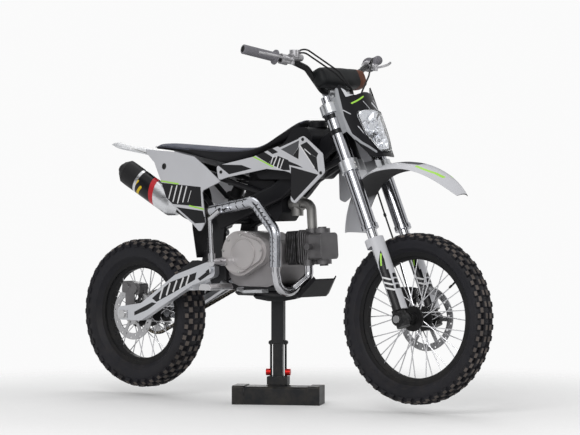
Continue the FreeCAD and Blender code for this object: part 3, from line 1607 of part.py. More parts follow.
def shift_lever():
    """The gear lever on the left side."""
    shaft = Vector(-cover_len * 0.3, case_half, control_z + peg_h)
    y = left_cover_out + kick_r * 2
    out = Vector(shaft.x, y, shaft.z)
    tip = Vector(shift_tip_x, y, control_z)
    parts = [rod(shaft, out + Vector(0, kick_r, 0), kick_r * 0.9), rod(out, tip, kick_r * 0.75)]
    parts.append(disc(out, Vector(0, 1, 0), kick_r * 1.5, kick_r * 1.6))
    parts.append(rod(tip - Vector(0, kick_r * 0.5, 0), tip + Vector(0, kick_r * 5, 0), kick_r * 1.1))
    return joined(parts)


def swingarm():
    """Box-section arms, a pivot tube and a brace below the chain's upper run, on one long bolt."""
    rear_x = rear_axle_x - arm_rear_h * 0.62
    points = [
        Vector(pivot_x + arm_rear_h * 0.5, 0, pivot_z + arm_rear_h * 0.5),
        Vector(arm_front_x, 0, pivot_z + arm_front_h * 0.36),
        Vector(rear_axle_x + arm_front_h, 0, rear_axle_z + arm_rear_h * 0.92),
        Vector(rear_x, 0, rear_axle_z + arm_rear_h * 0.55),
        Vector(rear_x, 0, rear_axle_z - arm_rear_h * 0.45),
        Vector(rear_axle_x + arm_front_h, 0, rear_axle_z - arm_rear_h * 0.45),
        Vector(arm_front_x, 0, pivot_z - arm_front_h * 0.64),
        Vector(pivot_x + arm_rear_h * 0.5, 0, pivot_z - arm_rear_h * 0.5),
    ]
    parts = []
    for side in SIDES:
        inner = side * (arm_y - arm_t / 2)
        parts.append(slab(points, arm_rear_h * 0.4, inner, inner + side * arm_t))
    pivot = Vector(pivot_x, 0, pivot_z)
    brace = Vector(arm_brace_x, 0, pivot_z - arm_brace_drop)
    tube_half = chain_y - chain_stack / 2 - chain_clear
    parts.append(disc(pivot, Vector(0, 1, 0), arm_tube_r, 2 * tube_half))
    parts.append(block(arm_brace_w, 2 * arm_y, arm_brace_w, brace))
    foot = Vector(shock_foot_x, 0, shock_foot_z)
    lug = [
        brace - Vector(arm_brace_w / 2, 0, 0),
        foot + Vector(-shock_eye_r, 0, shock_eye_r),
        foot + Vector(shock_eye_r, 0, shock_eye_r),
        brace + Vector(arm_brace_w / 2, 0, 0),
    ]
    for side in SIDES:
        offset = Vector(0, side * (tube_half - arm_link_r), 0)
        parts.append(rod(pivot + offset, brace + offset, arm_link_r))
        parts.append(slab(lug, shock_eye_r * 0.7, side * shock_eye_r, side * (shock_eye_r + shock_lug_t)))
    reach = arm_y + arm_t / 2
    parts.append(disc(pivot, Vector(0, 1, 0), pivot_bolt_r, 2 * (reach + pivot_bolt_r)))
    for side in SIDES:
        head = pivot + Vector(0, side * (reach + pivot_bolt_r / 2), 0)
        parts.append(disc(head, Vector(0, 1, 0), pivot_bolt_r * 1.7, pivot_bolt_r))
    whole = joined(parts)
    return whole.cut(disc(rear_axle, Vector(0, 1, 0), axle_r, arm_y * 3))


def rear_axle_bar():
    """The rear spindle with nuts and the chain adjusters at the arm ends."""
    reach = arm_y + arm_t / 2
    parts = [disc(rear_axle, Vector(0, 1, 0), axle_r, 2 * reach)]
    for side in SIDES:
        near = rear_axle + Vector(0, side * (rear_hub_half + seat_gap), 0)
        far = rear_axle + Vector(0, side * (arm_y - arm_t / 2), 0)
        parts.append(rod(near, far, axle_r * 1.7))
        outer = rear_axle + Vector(0, side * reach, 0)
        parts.append(rod(outer, outer + Vector(0, side * axle_r, 0), axle_r * 1.8))
        plate_at = outer + Vector(0, side * axle_r * 0.2, 0)
        parts.append(block(arm_rear_h * 0.9, axle_r * 0.4, arm_rear_h * 0.62, plate_at))
    return joined(parts)


def rear_shock():
    """The rear damper with its coil spring, seats and end eyes."""
    top = Vector(shock_top_x, 0, shock_top_z)
    foot = Vector(shock_foot_x, 0, shock_foot_z)
    line = top - foot
    unit = line * (1 / line.Length)
    low_seat = shock_eye_r * 2.2
    high_seat = line.Length - shock_eye_r * 3.4
    step = (high_seat - low_seat - 2 * cap_h) / spring_turns
    core_r = spring_r - 2 * spring_wire_r
    outline = [Vector(0, 0, low_seat), Vector(core_r, 0, low_seat)]
    for i in range(spring_turns):
        middle = low_seat + cap_h + step * (i + 0.5)
        outline.append(Vector(core_r, 0, middle - spring_wire_r))
        outline.append(Vector(spring_r - spring_wire_r * 0.3, 0, middle - spring_wire_r * 0.7))
        outline.append(Vector(spring_r, 0, middle))
        outline.append(Vector(spring_r - spring_wire_r * 0.3, 0, middle + spring_wire_r * 0.7))
        outline.append(Vector(core_r, 0, middle + spring_wire_r))
    outline += [Vector(core_r, 0, high_seat), Vector(0, 0, high_seat)]
    coil = Part.Face(Part.makePolygon(outline + outline[:1])).revolve(Vector(0, 0, 0), Vector(0, 0, 1), 360)
    coil.Placement = Placement(foot, Rotation(Vector(0, 0, 1), unit))
    parts = [
        coil,
        rod(foot, top, shock_body_r * 0.5),
        rod(foot + unit * high_seat, top - unit * shock_eye_r * 1.4, shock_body_r),
        rod(foot + unit * low_seat, foot + unit * (low_seat + cap_h), spring_r),
        rod(foot + unit * (high_seat - cap_h), foot + unit * high_seat, spring_r),
        disc(foot, Vector(0, 1, 0), shock_eye_r, shock_eye_r * 2),
        disc(top, Vector(0, 1, 0), shock_eye_r, shock_eye_r * 2),
    ]
    return joined(parts).cut(disc(top, Vector(0, 1, 0), shock_eye_r * 0.5, shock_eye_r * 3))


def rear_brake_caliper():
    """The rear caliper above the right arm's end, on its hanger plate."""
    middle = rear_axle + Vector(rear_disc_r * 0.10, -rear_disc_y, rear_disc_r * 0.98)
    body = caliper(middle, 6, -rear_disc_y)
    gap = disc(rear_axle - Vector(0, rear_disc_y, 0), Vector(0, 1, 0), rear_disc_r + overrun, disc_t + overrun)
    body = body.cut(gap)
    hanger_t = disc_t * 1.5
    face_y = -(arm_y - arm_t / 2 - hanger_t / 2)
    hanger = block(caliper_len * 0.5, hanger_t, middle.z - rear_axle_z,
                   Vector(middle.x, face_y, (middle.z + rear_axle_z) / 2 + caliper_h * 0.1))
    return joined([body, hanger]).cut(disc(rear_axle, Vector(0, 1, 0), axle_r * 1.8, arm_y * 2))


def crowned_section(x, low_z, high_z, half, crown):
    """A cross section of the seat: straight sides and a crowned top."""
    side_z = high_z - crown
    a = Vector(x, -half * 0.88, low_z)
    b = Vector(x, half * 0.88, low_z)
    c = Vector(x, half, side_z)
    d = Vector(x, -half, side_z)
    return Part.Wire([
        Part.LineSegment(a, b).toShape(),
        Part.LineSegment(b, c).toShape(),
        Part.Arc(c, Vector(x, 0, high_z), d).toShape(),
        Part.LineSegment(d, a).toShape(),
    ])


seat_table_shares = [
    (0.00, 0.40, 0.36, 0.48),
    (0.08, 0.57, 0.34, 0.49),
    (0.20, 0.72, 0.29, 0.465),
    (0.31, 0.83, 0.22, 0.44),
    (0.44, 0.91, 0.11, 0.41),
    (0.57, 0.86, 0.03, 0.395),
    (0.70, 0.82, 0.14, 0.415),
    (0.80, 0.79, 0.33, 0.52),
    (0.90, 0.70, 0.50, 0.75),
    (1.00, 0.48, 0.68, 1.0),
]


def seat():
    """The long narrow cushion that climbs on to the tank."""
    length = seat_front_x - seat_rear_x
    rise = seat_high_z - seat_low_z
    half = seat_width / 2
    wires = []
    for along, wide, low, high in seat_table_shares:
        x = seat_rear_x + length * along
        wires.append(crowned_section(x, seat_low_z + rise * low, seat_low_z + rise * high, half * wide, half * seat_crown_share))
    return Part.makeLoft(wires, True, False)



panel_shares = [
    (0.0, 1.0), (0.42, 0.965), (0.65, 0.91), (0.80, 0.79), (0.95, 0.65), (1.0, 0.62), (0.78, 0.50),
    (0.85, 0.13), (0.80, 0.0), (0.69, 0.115), (0.545, 0.225), (0.35, 0.395), (0.27, 0.58), (0.145, 0.84), (0.03, 0.95),
]


def curved_wall(outline, low_x, high_x, rear_half, front_half, thick, bow, lean_share):
    """A thin bowed wall, cut to an outline seen from the side."""
    middle_x = (low_x + high_x) / 2
    middle_half = (rear_half + front_half) / 2 + bow
    z0 = min(p.z for p in outline) - overrun
    rise = max(p.z for p in outline) - z0 + overrun
    walls = []
    for inset in (0, thick):
        a = Vector(low_x - overrun, -(rear_half - inset), z0)
        m = Vector(middle_x, -(middle_half - inset), z0)
        b = Vector(high_x + overrun, -(front_half - inset), z0)
        walls.append((a, m, b))
    (a, m, b), (c, n, d) = walls
    face = Part.Face(Part.Wire([
        Part.Arc(a, m, b).toShape(),
        Part.LineSegment(b, d).toShape(),
        Part.Arc(d, n, c).toShape(),
        Part.LineSegment(c, a).toShape(),
    ]))
    wall = face.extrude(Vector(0, rise * lean_share, rise))
    far = (rear_half + front_half) * 2
    return wall.common(slab(outline, thick * 3, -far, 0))


def side_panels():
    """The pair of rear number panels."""
    outline = spread(panel_shares, panel_rear_x, panel_front_x, panel_foot_z, panel_top_z)
    right = curved_wall(outline, panel_rear_x, panel_front_x, panel_rear_half, panel_front_half, panel_t, panel_t * 2,
                        panel_lean_share)
    spot = Vector(panel_rear_x + (panel_front_x - panel_rear_x) * 0.28, -panel_front_half, panel_foot_z + (panel_top_z - panel_foot_z) * 0.79)
    right = right.cut(disc(spot, Vector(0, 1, 0), panel_hole_r, panel_front_half))
    return Part.makeCompound([right, mirrored(right)])


shroud_shares = [
    (0.017, 0.55), (0.34, 0.69), (0.505, 0.81), (0.74, 0.96), (0.79, 1.0), (0.83, 0.95), (0.975, 0.74),
    (1.0, 0.46), (0.73, 0.0), (0.69, 0.04), (0.69, 0.45), (0.63, 0.48), (0.46, 0.51), (0.12, 0.38), (0.04, 0.33),
]


def tank_shrouds():
    """The pair of pointed side shrouds that flare out round the fork, pegged to the tank."""
    outline = spread(shroud_shares, shroud_rear_x, shroud_front_x, shroud_foot_z, shroud_top_z)
    right = curved_wall(outline, shroud_rear_x, shroud_front_x, shroud_rear_half, shroud_front_half, shroud_t, -shroud_t * 3,
                        shroud_lean_share)
    pegs = []
    for along, up in shroud_peg_shares:
        x = tank_rear_x + (tank_front_x - tank_rear_x) * along
        z = tank_foot_z + (tank_top_z - tank_foot_z) * up
        start = Vector(x, -tank_half, z)
        hit = right.common(Part.makeLine(start, Vector(x, -shroud_front_half * 2, z)))
        pegs.append(rod(start, Vector(x, hit.BoundBox.Center.y, z), shroud_peg_r))
    right = joined([right] + pegs)
    return Part.makeCompound([right, mirrored(right)])


tank_shares = [
    (0.0, 0.22), (0.35, 0.50), (0.57, 0.76), (0.66, 0.94), (0.74, 1.0), (0.92, 1.0),
    (1.0, 0.80), (0.96, 0.20), (0.80, 0.0), (0.10, 0.0),
]


def fuel_tank():
    """The tank that sits between the spars, under the front of the seat."""
    points = spread(tank_shares, tank_rear_x, tank_front_x, tank_foot_z, tank_top_z)
    body = slab(points, tank_half * 0.3, -tank_half, tank_half)
    return body.cut(seat())


def fuel_cap():
    """The round vented cap on top of the tank."""
    foot = Vector(cap_x, 0, tank_top_z)
    cap = Part.makeCylinder(cap_r, cap_h, foot, Vector(0, 0, 1))
    cap = cap.makeFillet(cap_h * 0.35, [cap.Edges[0]])
    return cap


def rear_fender():
    """The flat tail: a thin sheet, wide under the seat and narrow at its tip."""
    spine_shares = [(0.0, 0.0), (0.30, -0.20), (0.60, -0.32), (0.75, -0.40), (1.0, -0.52)]
    length = seat_rear_x + tail_half - tail_tip_x
    top = [Vector(tail_tip_x + length * a, 0, tail_tip_z + tail_half * b) for a, b in spine_shares]
    widths = [0.45, 0.80, 0.96, 1.0, 1.0]
    wires = []
    for spot, share in zip(top, widths):
        half = tail_half * share
        drop = tail_half * 0.20 * share
        a = spot + Vector(0, half, -drop)
        b = spot + Vector(0, -half, -drop)
        c = spot + Vector(0, half - tail_t, -drop)
        d = spot + Vector(0, -half + tail_t, -drop)
        wires.append(Part.Wire([
            Part.Arc(a, spot, b).toShape(),
            Part.LineSegment(b, d).toShape(),
            Part.Arc(d, spot - Vector(0, 0, tail_t), c).toShape(),
            Part.LineSegment(c, a).toShape(),
        ]))
    return Part.makeLoft(wires, True, False)


def mud_flap():
    """The black inner guard ahead of the rear wheel."""
    points = [
        Vector(subframe_tail_x + tail_half, 0, subframe_tail_z - subframe_r * 2),
        Vector(plate_x - plate_w * 1.5, 0, spar_knee_z),
        Vector(arm_brace_x - arm_brace_w * 0.7, 0, (spar_knee_z + flap_foot_z) / 2),
        Vector(arm_brace_x - arm_brace_w * 0.2, 0, flap_foot_z),
    ]
    path = bent_path(points, tail_half * 1.6)
    start = points[0]
    along = points[1] - points[0]
    normal = Vector(-along.z, 0, along.x).normalize() * (tail_t / 2)
    side = Vector(0, flap_half, 0)
    corners = [start + normal + side, start + normal - side, start - normal - side, start - normal + side]
    return path.makePipeShell([Part.makePolygon(corners + corners[:1])], True, False)


def skid_plate():
    """The bent plate under the engine, bolted to the lower rails, with an upswept nose."""
    lift = skid_side_z - skid_z
    stations = [
        (skid_rear_x, skid_z, 1.0),
        (skid_front_x - 3 * skid_nose_run, skid_z, 1.0),
        (skid_front_x, skid_nose_z, 0.72),
    ]
    wires = []
    for x, z, share in stations:
        half = skid_half * share
        flat = half * 0.82
        outer = [Vector(x, y, z + up) for y, up in ((-half, lift), (-flat, 0), (flat, 0), (half, lift))]
        inner = [Vector(p.x, p.y * (1 - skid_t / skid_half), p.z + skid_t) for p in outer[::-1]]
        ring = outer + inner
        wires.append(Part.makePolygon(ring + ring[:1]))
    parts = [Part.makeLoft(wires, True, True)]
    rail_z = case_foot_z - cradle_r * 0.5
    for side in SIDES:
        for share in skid_bolt_shares:
            foot = Vector(skid_rear_x + (cradle_front_x - skid_rear_x) * share, side * cradle_half, skid_z + skid_t / 2)
            parts.append(rod(foot, Vector(foot.x, foot.y, rail_z), cradle_r * 0.6))
    return joined(parts)


def stand_turned(shape):
    """Turn a stand piece to the angle at which the stand is parked."""
    turned = shape.copy()
    turned.rotate(Vector(0, 0, 0), Vector(0, 0, 1), stand_turn_deg)
    return turned


def upper_long_edges(body):
    """The edges along X in the upper half of a straight body."""
    middle = body.BoundBox.Center.z
    found = []
    for edge in body.Edges:
        if abs(edge.tangentAt(edge.FirstParameter).x) > 0.9 and edge.CenterOfMass.z > middle:
            found.append(edge)
    return found


def stand_foot():
    """The broad foot: a chamfered bar, raised end caps and a cone for the column."""
    bar_d = foot_d - 2 * foot_cap_out
    bar_h = foot_h - foot_cap_out
    bar = block(foot_len - 2 * foot_cap_out, bar_d, bar_h, Vector(0, 0, bar_h / 2))
    bar = bar.makeChamfer(foot_h * 0.1, upper_long_edges(bar))
    caps = []
    for sign in (-1, 1):
        cap = block(foot_cap, foot_d, foot_h, Vector(sign * (foot_len - foot_cap) / 2, 0, foot_h / 2))
        caps.append(cap.makeFillet(foot_h * 0.12, upper_long_edges(cap)))
    foot_top = Vector(0, 0, foot_h - foot_cap_out * 2)
    base = Part.makeCone(knuckle_w * 0.72, knuckle_w * 0.5, foot_h * 0.14, foot_top, Vector(0, 0, 1))
    return stand_turned(joined([bar] + caps + [base]))


def stand_column():
    """The column with its sleeve, side rods, knobs and the saddle under the skid plate."""
    foot_top = foot_h - foot_cap_out * 2 + foot_h * 0.14
    knuckle = block(knuckle_w, foot_d * 0.5, knuckle_h, Vector(0, 0, foot_top + knuckle_h / 2))
    parts = [knuckle]
    top = skid_z - saddle_t
    parts.append(block(column_w, column_w, top - foot_top, Vector(0, 0, (top + foot_top) / 2)))
    sleeve_foot = top - (top - foot_top) * 0.5
    parts.append(block(sleeve_w, sleeve_w, top - sleeve_foot, Vector(0, 0, (top + sleeve_foot) / 2)))
    for sign in (-1, 1):
        x = sign * side_rod_y
        parts.append(rod(Vector(x, 0, foot_top + overrun), Vector(x, 0, sleeve_foot + overrun), side_rod_r))
        parts.append(disc(Vector(x, 0, sleeve_foot), Vector(0, 1, 0), side_rod_r * 2, side_rod_r * 4))
        eye_z = foot_top + knuckle_h - side_rod_r
        parts.append(disc(Vector(x, 0, eye_z), Vector(0, 1, 0), side_rod_r * 1.6, side_rod_r * 5))
    shares = [(0.0, 1.0), (1.0, 1.0), (0.94, 0.45), (0.66, 0.0), (0.34, 0.0), (0.06, 0.45)]
    points = spread(shares, -saddle_w / 2, saddle_w / 2, top, top + saddle_t)
    parts.append(plate(points, -saddle_w * 0.32, saddle_w * 0.32))
    return stand_turned(joined(parts))


def stand_knobs():
    """The two red clamp knobs."""
    knobs = []
    for sign in (-1, 1):
        start = Vector(sign * side_rod_y, 0, knob_z)
        end = start + Vector(sign * knob_h * 0.65, 0, 0)
        knobs.append(rod(start, end, knob_r))
    return stand_turned(Part.makeCompound(knobs))


def side_stand():
    """The folded side stand: clevis eye, bent leg and flat foot."""
    pivot = Vector(kick_stand_x, kick_stand_y, kick_stand_z)
    knee = Vector(kick_knee_x, kick_stand_y + kick_stand_r, kick_knee_z)
    end = Vector(kick_tip_x, kick_stand_y + kick_stand_r * 2.5, kick_tip_z)
    back = (knee - pivot).normalize()
    leg = pipe([pivot + back * (kick_stand_r * 1.75), knee, end], kick_stand_r, kick_stand_r * 8)
    eye = disc(pivot, side_stand_axis(), kick_stand_r * 2.1, kick_stand_r * 1.6)
    sole = block(kick_foot_len, kick_foot_len * 0.5, kick_stand_r, end)
    sole = sole.makeFillet(kick_stand_r * 0.4, sole.Edges)
    sole.rotate(end, Vector(0, 1, 0), math.degrees(math.atan2(end.z - knee.z, knee.x - end.x)) + 90)
    whole = joined([leg, eye, sole])
    return whole.cut(disc(pivot, side_stand_axis(), kick_stand_r * 0.62 + running_gap, kick_foot_len))


def side_stand_axis():
    """The tilted pivot line that swings the leg outwards as it comes down."""
    tilt = math.radians(side_stand_tilt_deg)
    return Vector(0, -math.cos(tilt), -math.sin(tilt))


def side_stand_bracket():
    """The lug on the pivot plate and the pivot bolt of the side stand."""
    pivot = Vector(kick_stand_x, kick_stand_y, kick_stand_z)
    axis = side_stand_axis()
    face = kick_stand_r * 0.8 + seat_gap
    root = pivot + axis * ((kick_stand_y - plate_half) / math.cos(math.radians(side_stand_tilt_deg)))
    bolt = rod(pivot - axis * kick_stand_r * 1.2, root, kick_stand_r * 0.62)
    lug = rod(pivot + axis * face, root, kick_stand_r * 1.3)
    head = rod(pivot - axis * face, pivot - axis * kick_stand_r * 1.5, kick_stand_r)
    return joined([bolt, lug, head])


def write(name, shape):
    """Check one node and store it."""
    solids = len(shape.Solids)
    box = shape.BoundBox
    print(name, "valid", shape.isValid(), "solids", solids, "volume", round(shape.Volume),
          "box", [round(v) for v in (box.XMin, box.XMax, box.YMin, box.YMax, box.ZMin, box.ZMax)])
    shape.exportStep("parts/" + name + ".step")


def chassis_nodes():
    """Everything that stays with the frame."""
    frame = main_frame()
    head = cylinder_head()
    case = engine_case().cut(frame)
    pipe_run = exhaust_pipe()
    return {
        "frame": frame,
        "skid_plate": skid_plate().cut(frame),
        "engine_case": case,
        "clutch_cover": clutch_cover(),
        "cylinder_barrel": cylinder_barrel().cut(head).cut(case),
        "cylinder_head": head,
        "carburettor": carburettor(),
        "air_box": air_box().cut(frame),
        "exhaust_pipe": pipe_run,
        "heat_shield": heat_shield().cut(pipe_run),
        "silencer": silencer(),
        "kick_lever": kick_start(),
        "foot_pegs": foot_pegs().cut(frame),
        "foot_controls": Part.makeCompound([brake_pedal().cut(frame), shift_lever()]),
        "swingarm": swingarm(),
        "rear_shock": rear_shock(),
        "rear_axle": rear_axle_bar(),
        "rear_brake_caliper": rear_brake_caliper(),
        "front_sprocket": sprocket(Vector(front_sprocket_x, 0, front_sprocket_z), front_teeth, chain_y, axle_r),
        "drive_chain": drive_chain(),
        "seat": seat(),
        "fuel_tank": Part.makeCompound([fuel_tank().cut(frame)]),
        "fuel_cap": fuel_cap(),
        "side_panels": side_panels(),
        "tank_shrouds": tank_shrouds(),
        "rear_fender": rear_fender(),
        "mud_flap": mud_flap().cut(frame),
        "stand_foot": stand_foot(),
        "stand_column": stand_column(),
        "stand_knobs": stand_knobs().cut(stand_column()),
    }


def steered_nodes():
    """Everything that turns with the bars, built straight ahead."""
    clamps = triple_clamps()
    tubes = fork_tubes()
    bar = handlebar()
    levers = Part.makeCompound([lever_set(RIGHT, True).cut(bar), lever_set(LEFT, False).cut(bar)])
    mask = headlight_mask().cut(clamps)
    front_hoop = rim(front_axle, front_bead_r, front_rim_w)
    front_spoked = hub_with_spokes(front_axle, front_bead_r, front_hub_flange_r, front_flange_y, front_hub_half)
    return {
        "triple_clamps": clamps,
        "fork_tubes": tubes,
        "fork_sliders": fork_sliders(),
        "fork_guards": fork_guards().cut(fork_sliders()),
        "front_axle": front_axle_bar(),
        "handlebar": bar,
        "bar_pad": bar_pad(),
        "grips": grips(),
        "hand_levers": levers,
        "headlight_mask": mask,
        "headlight": headlight(),
        "control_cables": control_cables(levers),
        "front_fender": front_fender().cut(clamps).cut(tubes),
        "front_brake_caliper": front_brake_caliper(),
        "front_tyre": lugged_tyre(front_axle, front_tyre_r, front_bead_r, front_tyre_w, front_rim_w),
        "front_rim": front_hoop,
        "front_hub": front_spoked.cut(front_hoop),
        "front_disc": brake_disc(front_axle, front_disc_y, front_disc_r, front_hub_flange_r),
    }


def rear_wheel_nodes():
    """Everything that turns on the rear axle."""
    hoop = rim(rear_axle, rear_bead_r, rear_rim_w)
    spoked = hub_with_spokes(rear_axle, rear_bead_r, rear_hub_flange_r, rear_flange_y, rear_hub_half)
    return {
        "rear_tyre": lugged_tyre(rear_axle, rear_tyre_r, rear_bead_r, rear_tyre_w, rear_rim_w),
        "rear_rim": hoop,
        "rear_hub": spoked.cut(hoop),
        "rear_disc": brake_disc(rear_axle, -rear_disc_y, rear_disc_r, rear_hub_flange_r * 0.8),
        "rear_sprocket": sprocket(rear_axle, rear_teeth, chain_y, hub_tube_r),
    }


os.makedirs("parts", exist_ok=True)
for name, shape in chassis_nodes().items():
    write(name, shape)
for name, shape in steered_nodes().items():
    write(name, steered(shape))
for name, shape in rear_wheel_nodes().items():
    write(name, shape)
write("side_stand", side_stand())
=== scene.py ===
# %% [markdown]
# # A small off-road motorcycle on its paddock stand
# The shapes of frame, engine, wheels and plastics come from a solid model, which loads as a fixed
# frame. This lesson gives each of them its finish, and models the parts that a solid does badly:
# tyres with lugs, the padded seat, the bar pad, the grips, the chain and the lamp.
# Everything is in metres: X points forwards, Y to the rider's left and Z up.

import math

import bmesh
import bpy
from mathutils import Matrix, Vector


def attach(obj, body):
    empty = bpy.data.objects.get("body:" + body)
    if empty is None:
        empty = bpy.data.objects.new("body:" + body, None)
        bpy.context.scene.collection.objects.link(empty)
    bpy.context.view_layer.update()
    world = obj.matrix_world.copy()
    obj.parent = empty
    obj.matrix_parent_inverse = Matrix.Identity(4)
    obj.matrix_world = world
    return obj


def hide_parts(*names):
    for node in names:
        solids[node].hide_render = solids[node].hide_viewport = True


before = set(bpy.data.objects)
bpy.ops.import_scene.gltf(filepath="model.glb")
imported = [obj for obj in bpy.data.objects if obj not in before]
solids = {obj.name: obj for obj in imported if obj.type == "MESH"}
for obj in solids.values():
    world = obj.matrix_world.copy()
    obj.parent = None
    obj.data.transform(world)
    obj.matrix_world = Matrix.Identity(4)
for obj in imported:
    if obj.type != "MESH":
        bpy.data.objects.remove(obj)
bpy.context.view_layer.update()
print("solids loaded:", len(solids))

# %% [markdown]
# ## The camera
# The bike was photographed from its front right corner with a long lens, from more than eleven
# metres away, so its lines hardly converge. A camera that is aimed at the middle of the picture
# needs no shift, and so other views of the bike stay centred.


# %% The camera
def show(name, data):
    """Adds an object to the scene."""
    made = bpy.data.objects.new(name, data)
    bpy.context.scene.collection.objects.link(made)
    return made


def looking(at, way, axis="-Z"):
    """A placement at a point, with one axis looking a given way."""
    return Matrix.Translation(at) @ way.to_track_quat(axis, "Y").to_matrix().to_4x4()


picture_w, picture_h = 580, 435
level_px_x, level_px_y = 276.0, 145.5  # where a level line of sight meets the picture
focal_px = 3277.0
sensor = 36.0
turn, far, high, aside = math.radians(41.44), 11.47, 0.905, -0.011
camera_at = Vector((math.sin(turn) * far + aside, -math.cos(turn) * far, high))
level = Vector((-math.sin(turn), math.cos(turn), 0))
across = Vector((math.cos(turn), math.sin(turn), 0))
to_right, to_top = (picture_w / 2 - level_px_x) / focal_px, (level_px_y - picture_h / 2) / focal_px

lens = bpy.data.cameras.new("camera")
lens.sensor_width = sensor
lens.lens = sensor * focal_px / picture_w
lens.clip_end = 100.0
camera = show("camera", lens)
camera.matrix_world = looking(camera_at, level + across * to_right + Vector((0, 0, to_top)))
bpy.context.scene.camera = camera
bpy.context.scene.view_settings.view_transform = "Standard"
print("lens", round(lens.lens, 1), "mm")

# %% [markdown]
# ## Building materials from small pieces
# Blender's shader nodes can be made in code, but one call for each node and link grows long.
# `put` adds a node, sets its options, and fills or links its inputs in one line. The others wrap
# the nodes that are used most: sums, ranges, mixes and placed groups.


# %% Helpers for node trees
def feed(tree, socket, value):
    """Links another node's output to a socket, or sets a plain value."""
    if isinstance(value, bpy.types.NodeSocket):
        tree.links.new(value, socket)
    else:
        socket.default_value = value


def put(tree, kind, feeds=None, **options):
    """Adds a shader node with its options, and fills or links its inputs."""
    made = tree.nodes.new("ShaderNode" + kind)
    for key, value in options.items():
        setattr(made, key, value)
    for key, value in (feeds or {}).items():
        feed(tree, made.inputs[key], value)
    return made


def sum_of(tree, operation, a, b, clamp=False):
    """One Math node's value."""
    return put(tree, "Math", {0: a, 1: b}, operation=operation, use_clamp=clamp).outputs[0]


def arrow_sum(tree, operation, a, b):
    """One Vector Math node's result, which is a number for a product or a distance."""
    made = put(tree, "VectorMath", {0: a, 1: b}, operation=operation)
    return made.outputs["Value" if operation in ("DOT_PRODUCT", "DISTANCE") else "Vector"]


def ranged(tree, value, low, high, start=0.0, **options):
    """A Map Range node's value, which climbs from start to one."""
    feeds = {"Value": value, "From Min": low, "From Max": high, "To Min": start}
    return put(tree, "MapRange", feeds, **options).outputs[0]


def mixed(tree, share, a, b, kind="RGBA"):
    """A Mix node's result, for colours or single values."""
    first, result = {"RGBA": (6, 2), "FLOAT": (2, 0)}[kind]
    return put(tree, "Mix", {0: share, first: a, first + 1: b}, data_type=kind).outputs[result]


def use(tree, group, feeds):
    """Places a node group."""
    return put(tree, "Group", feeds, node_tree=group).outputs


def axis_of(tree, vector, axis):
    """One number of a vector."""
    return put(tree, "SeparateXYZ", {0: vector}).outputs[axis]


def surface_normal(tree):
    """Which way the real surface faces."""
    return put(tree, "NewGeometry").outputs["Normal"]


def start_group(name, takes, gives):
    """A node group that takes a place and named values, each a number or (with None) a vector."""
    tree = bpy.data.node_groups.new(name, "ShaderNodeTree")
    for label, value in {"Vector": None, **takes}.items():
        kind = "NodeSocketFloat" if isinstance(value, float) else "NodeSocketVector"
        socket = tree.interface.new_socket(label, in_out="INPUT", socket_type=kind)
        if value is not None:
            socket.default_value = value
    for label in gives:
        kind = "NodeSocketVector" if label == "Normal" else "NodeSocketFloat"
        tree.interface.new_socket(label, in_out="OUTPUT", socket_type=kind)
    print("group:", name)
    return tree, tree.nodes.new("NodeGroupInput").outputs, tree.nodes.new("NodeGroupOutput").inputs


# %% [markdown]
# ## Effects that many finishes share
# Real edges are never sharp, and paint thins and rubs off on them first. The Bevel node finds edges
# by feeling round each point, so it works on solids whose triangles aren't joined. Grain is a fine
# noise with broader patches, and road dust gathers low down and on faces that look up.

# %% Worn edges
worn_edges, given, wanted = start_group("worn_edges", {"Width": 0.0015}, ["Edge", "Normal"])
rounded = put(worn_edges, "Bevel", {"Radius": given["Width"]}, samples=4).outputs[0]
alike = arrow_sum(worn_edges, "DOT_PRODUCT", rounded, surface_normal(worn_edges))
rub = put(worn_edges, "TexNoise", {"Vector": given["Vector"], "Scale": 60.0, "Detail": 4.0})
patchy = ranged(worn_edges, rub.outputs["Fac"], 0.42, 0.62)
edge = sum_of(worn_edges, "MULTIPLY", ranged(worn_edges, alike, 0.99, 0.80), patchy, True)
feed(worn_edges, wanted["Edge"], edge)
feed(worn_edges, wanted["Normal"], rounded)

# %% Fine grain with broad patches
fine_grain, given, wanted = start_group(
    "fine_grain", {"Scale": 900.0, "Patch scale": 9.0}, ["Height", "Patches"]
)
fine = put(fine_grain, "TexNoise", {"Vector": given["Vector"], "Scale": given["Scale"], "Detail": 3.0})
broad = put(
    fine_grain, "TexNoise", {"Vector": given["Vector"], "Scale": given["Patch scale"], "Detail": 5.0}
)
feed(fine_grain, wanted["Height"], fine.outputs["Fac"])
feed(fine_grain, wanted["Patches"], ranged(fine_grain, broad.outputs["Fac"], 0.3, 0.7))

# %% Road dust
road_dust, given, wanted = start_group("road_dust", {"Top": 0.5, "Depth": 0.5}, ["Dust"])
below = sum_of(road_dust, "SUBTRACT", given["Top"], axis_of(road_dust, given["Vector"], "Z"))
share = sum_of(road_dust, "DIVIDE", below, given["Depth"], True)
lying = ranged(road_dust, axis_of(road_dust, surface_normal(road_dust), "Z"), -0.4, 1.0, 0.25)
cloud = put(
    road_dust, "TexNoise", {"Vector": given["Vector"], "Scale": 28.0, "Detail": 6.0, "Roughness": 0.65}
)
spots = ranged(road_dust, cloud.outputs["Fac"], 0.40, 0.75)
dusty = sum_of(road_dust, "MULTIPLY", sum_of(road_dust, "MULTIPLY", share, lying), spots, True)
feed(road_dust, wanted["Dust"], dusty)

# %% [markdown]
# ## Where the fork points
# The bars rest four degrees to the left. Everything on the fork is worked out straight ahead and
# then turned by one matrix, so both sides of it match.

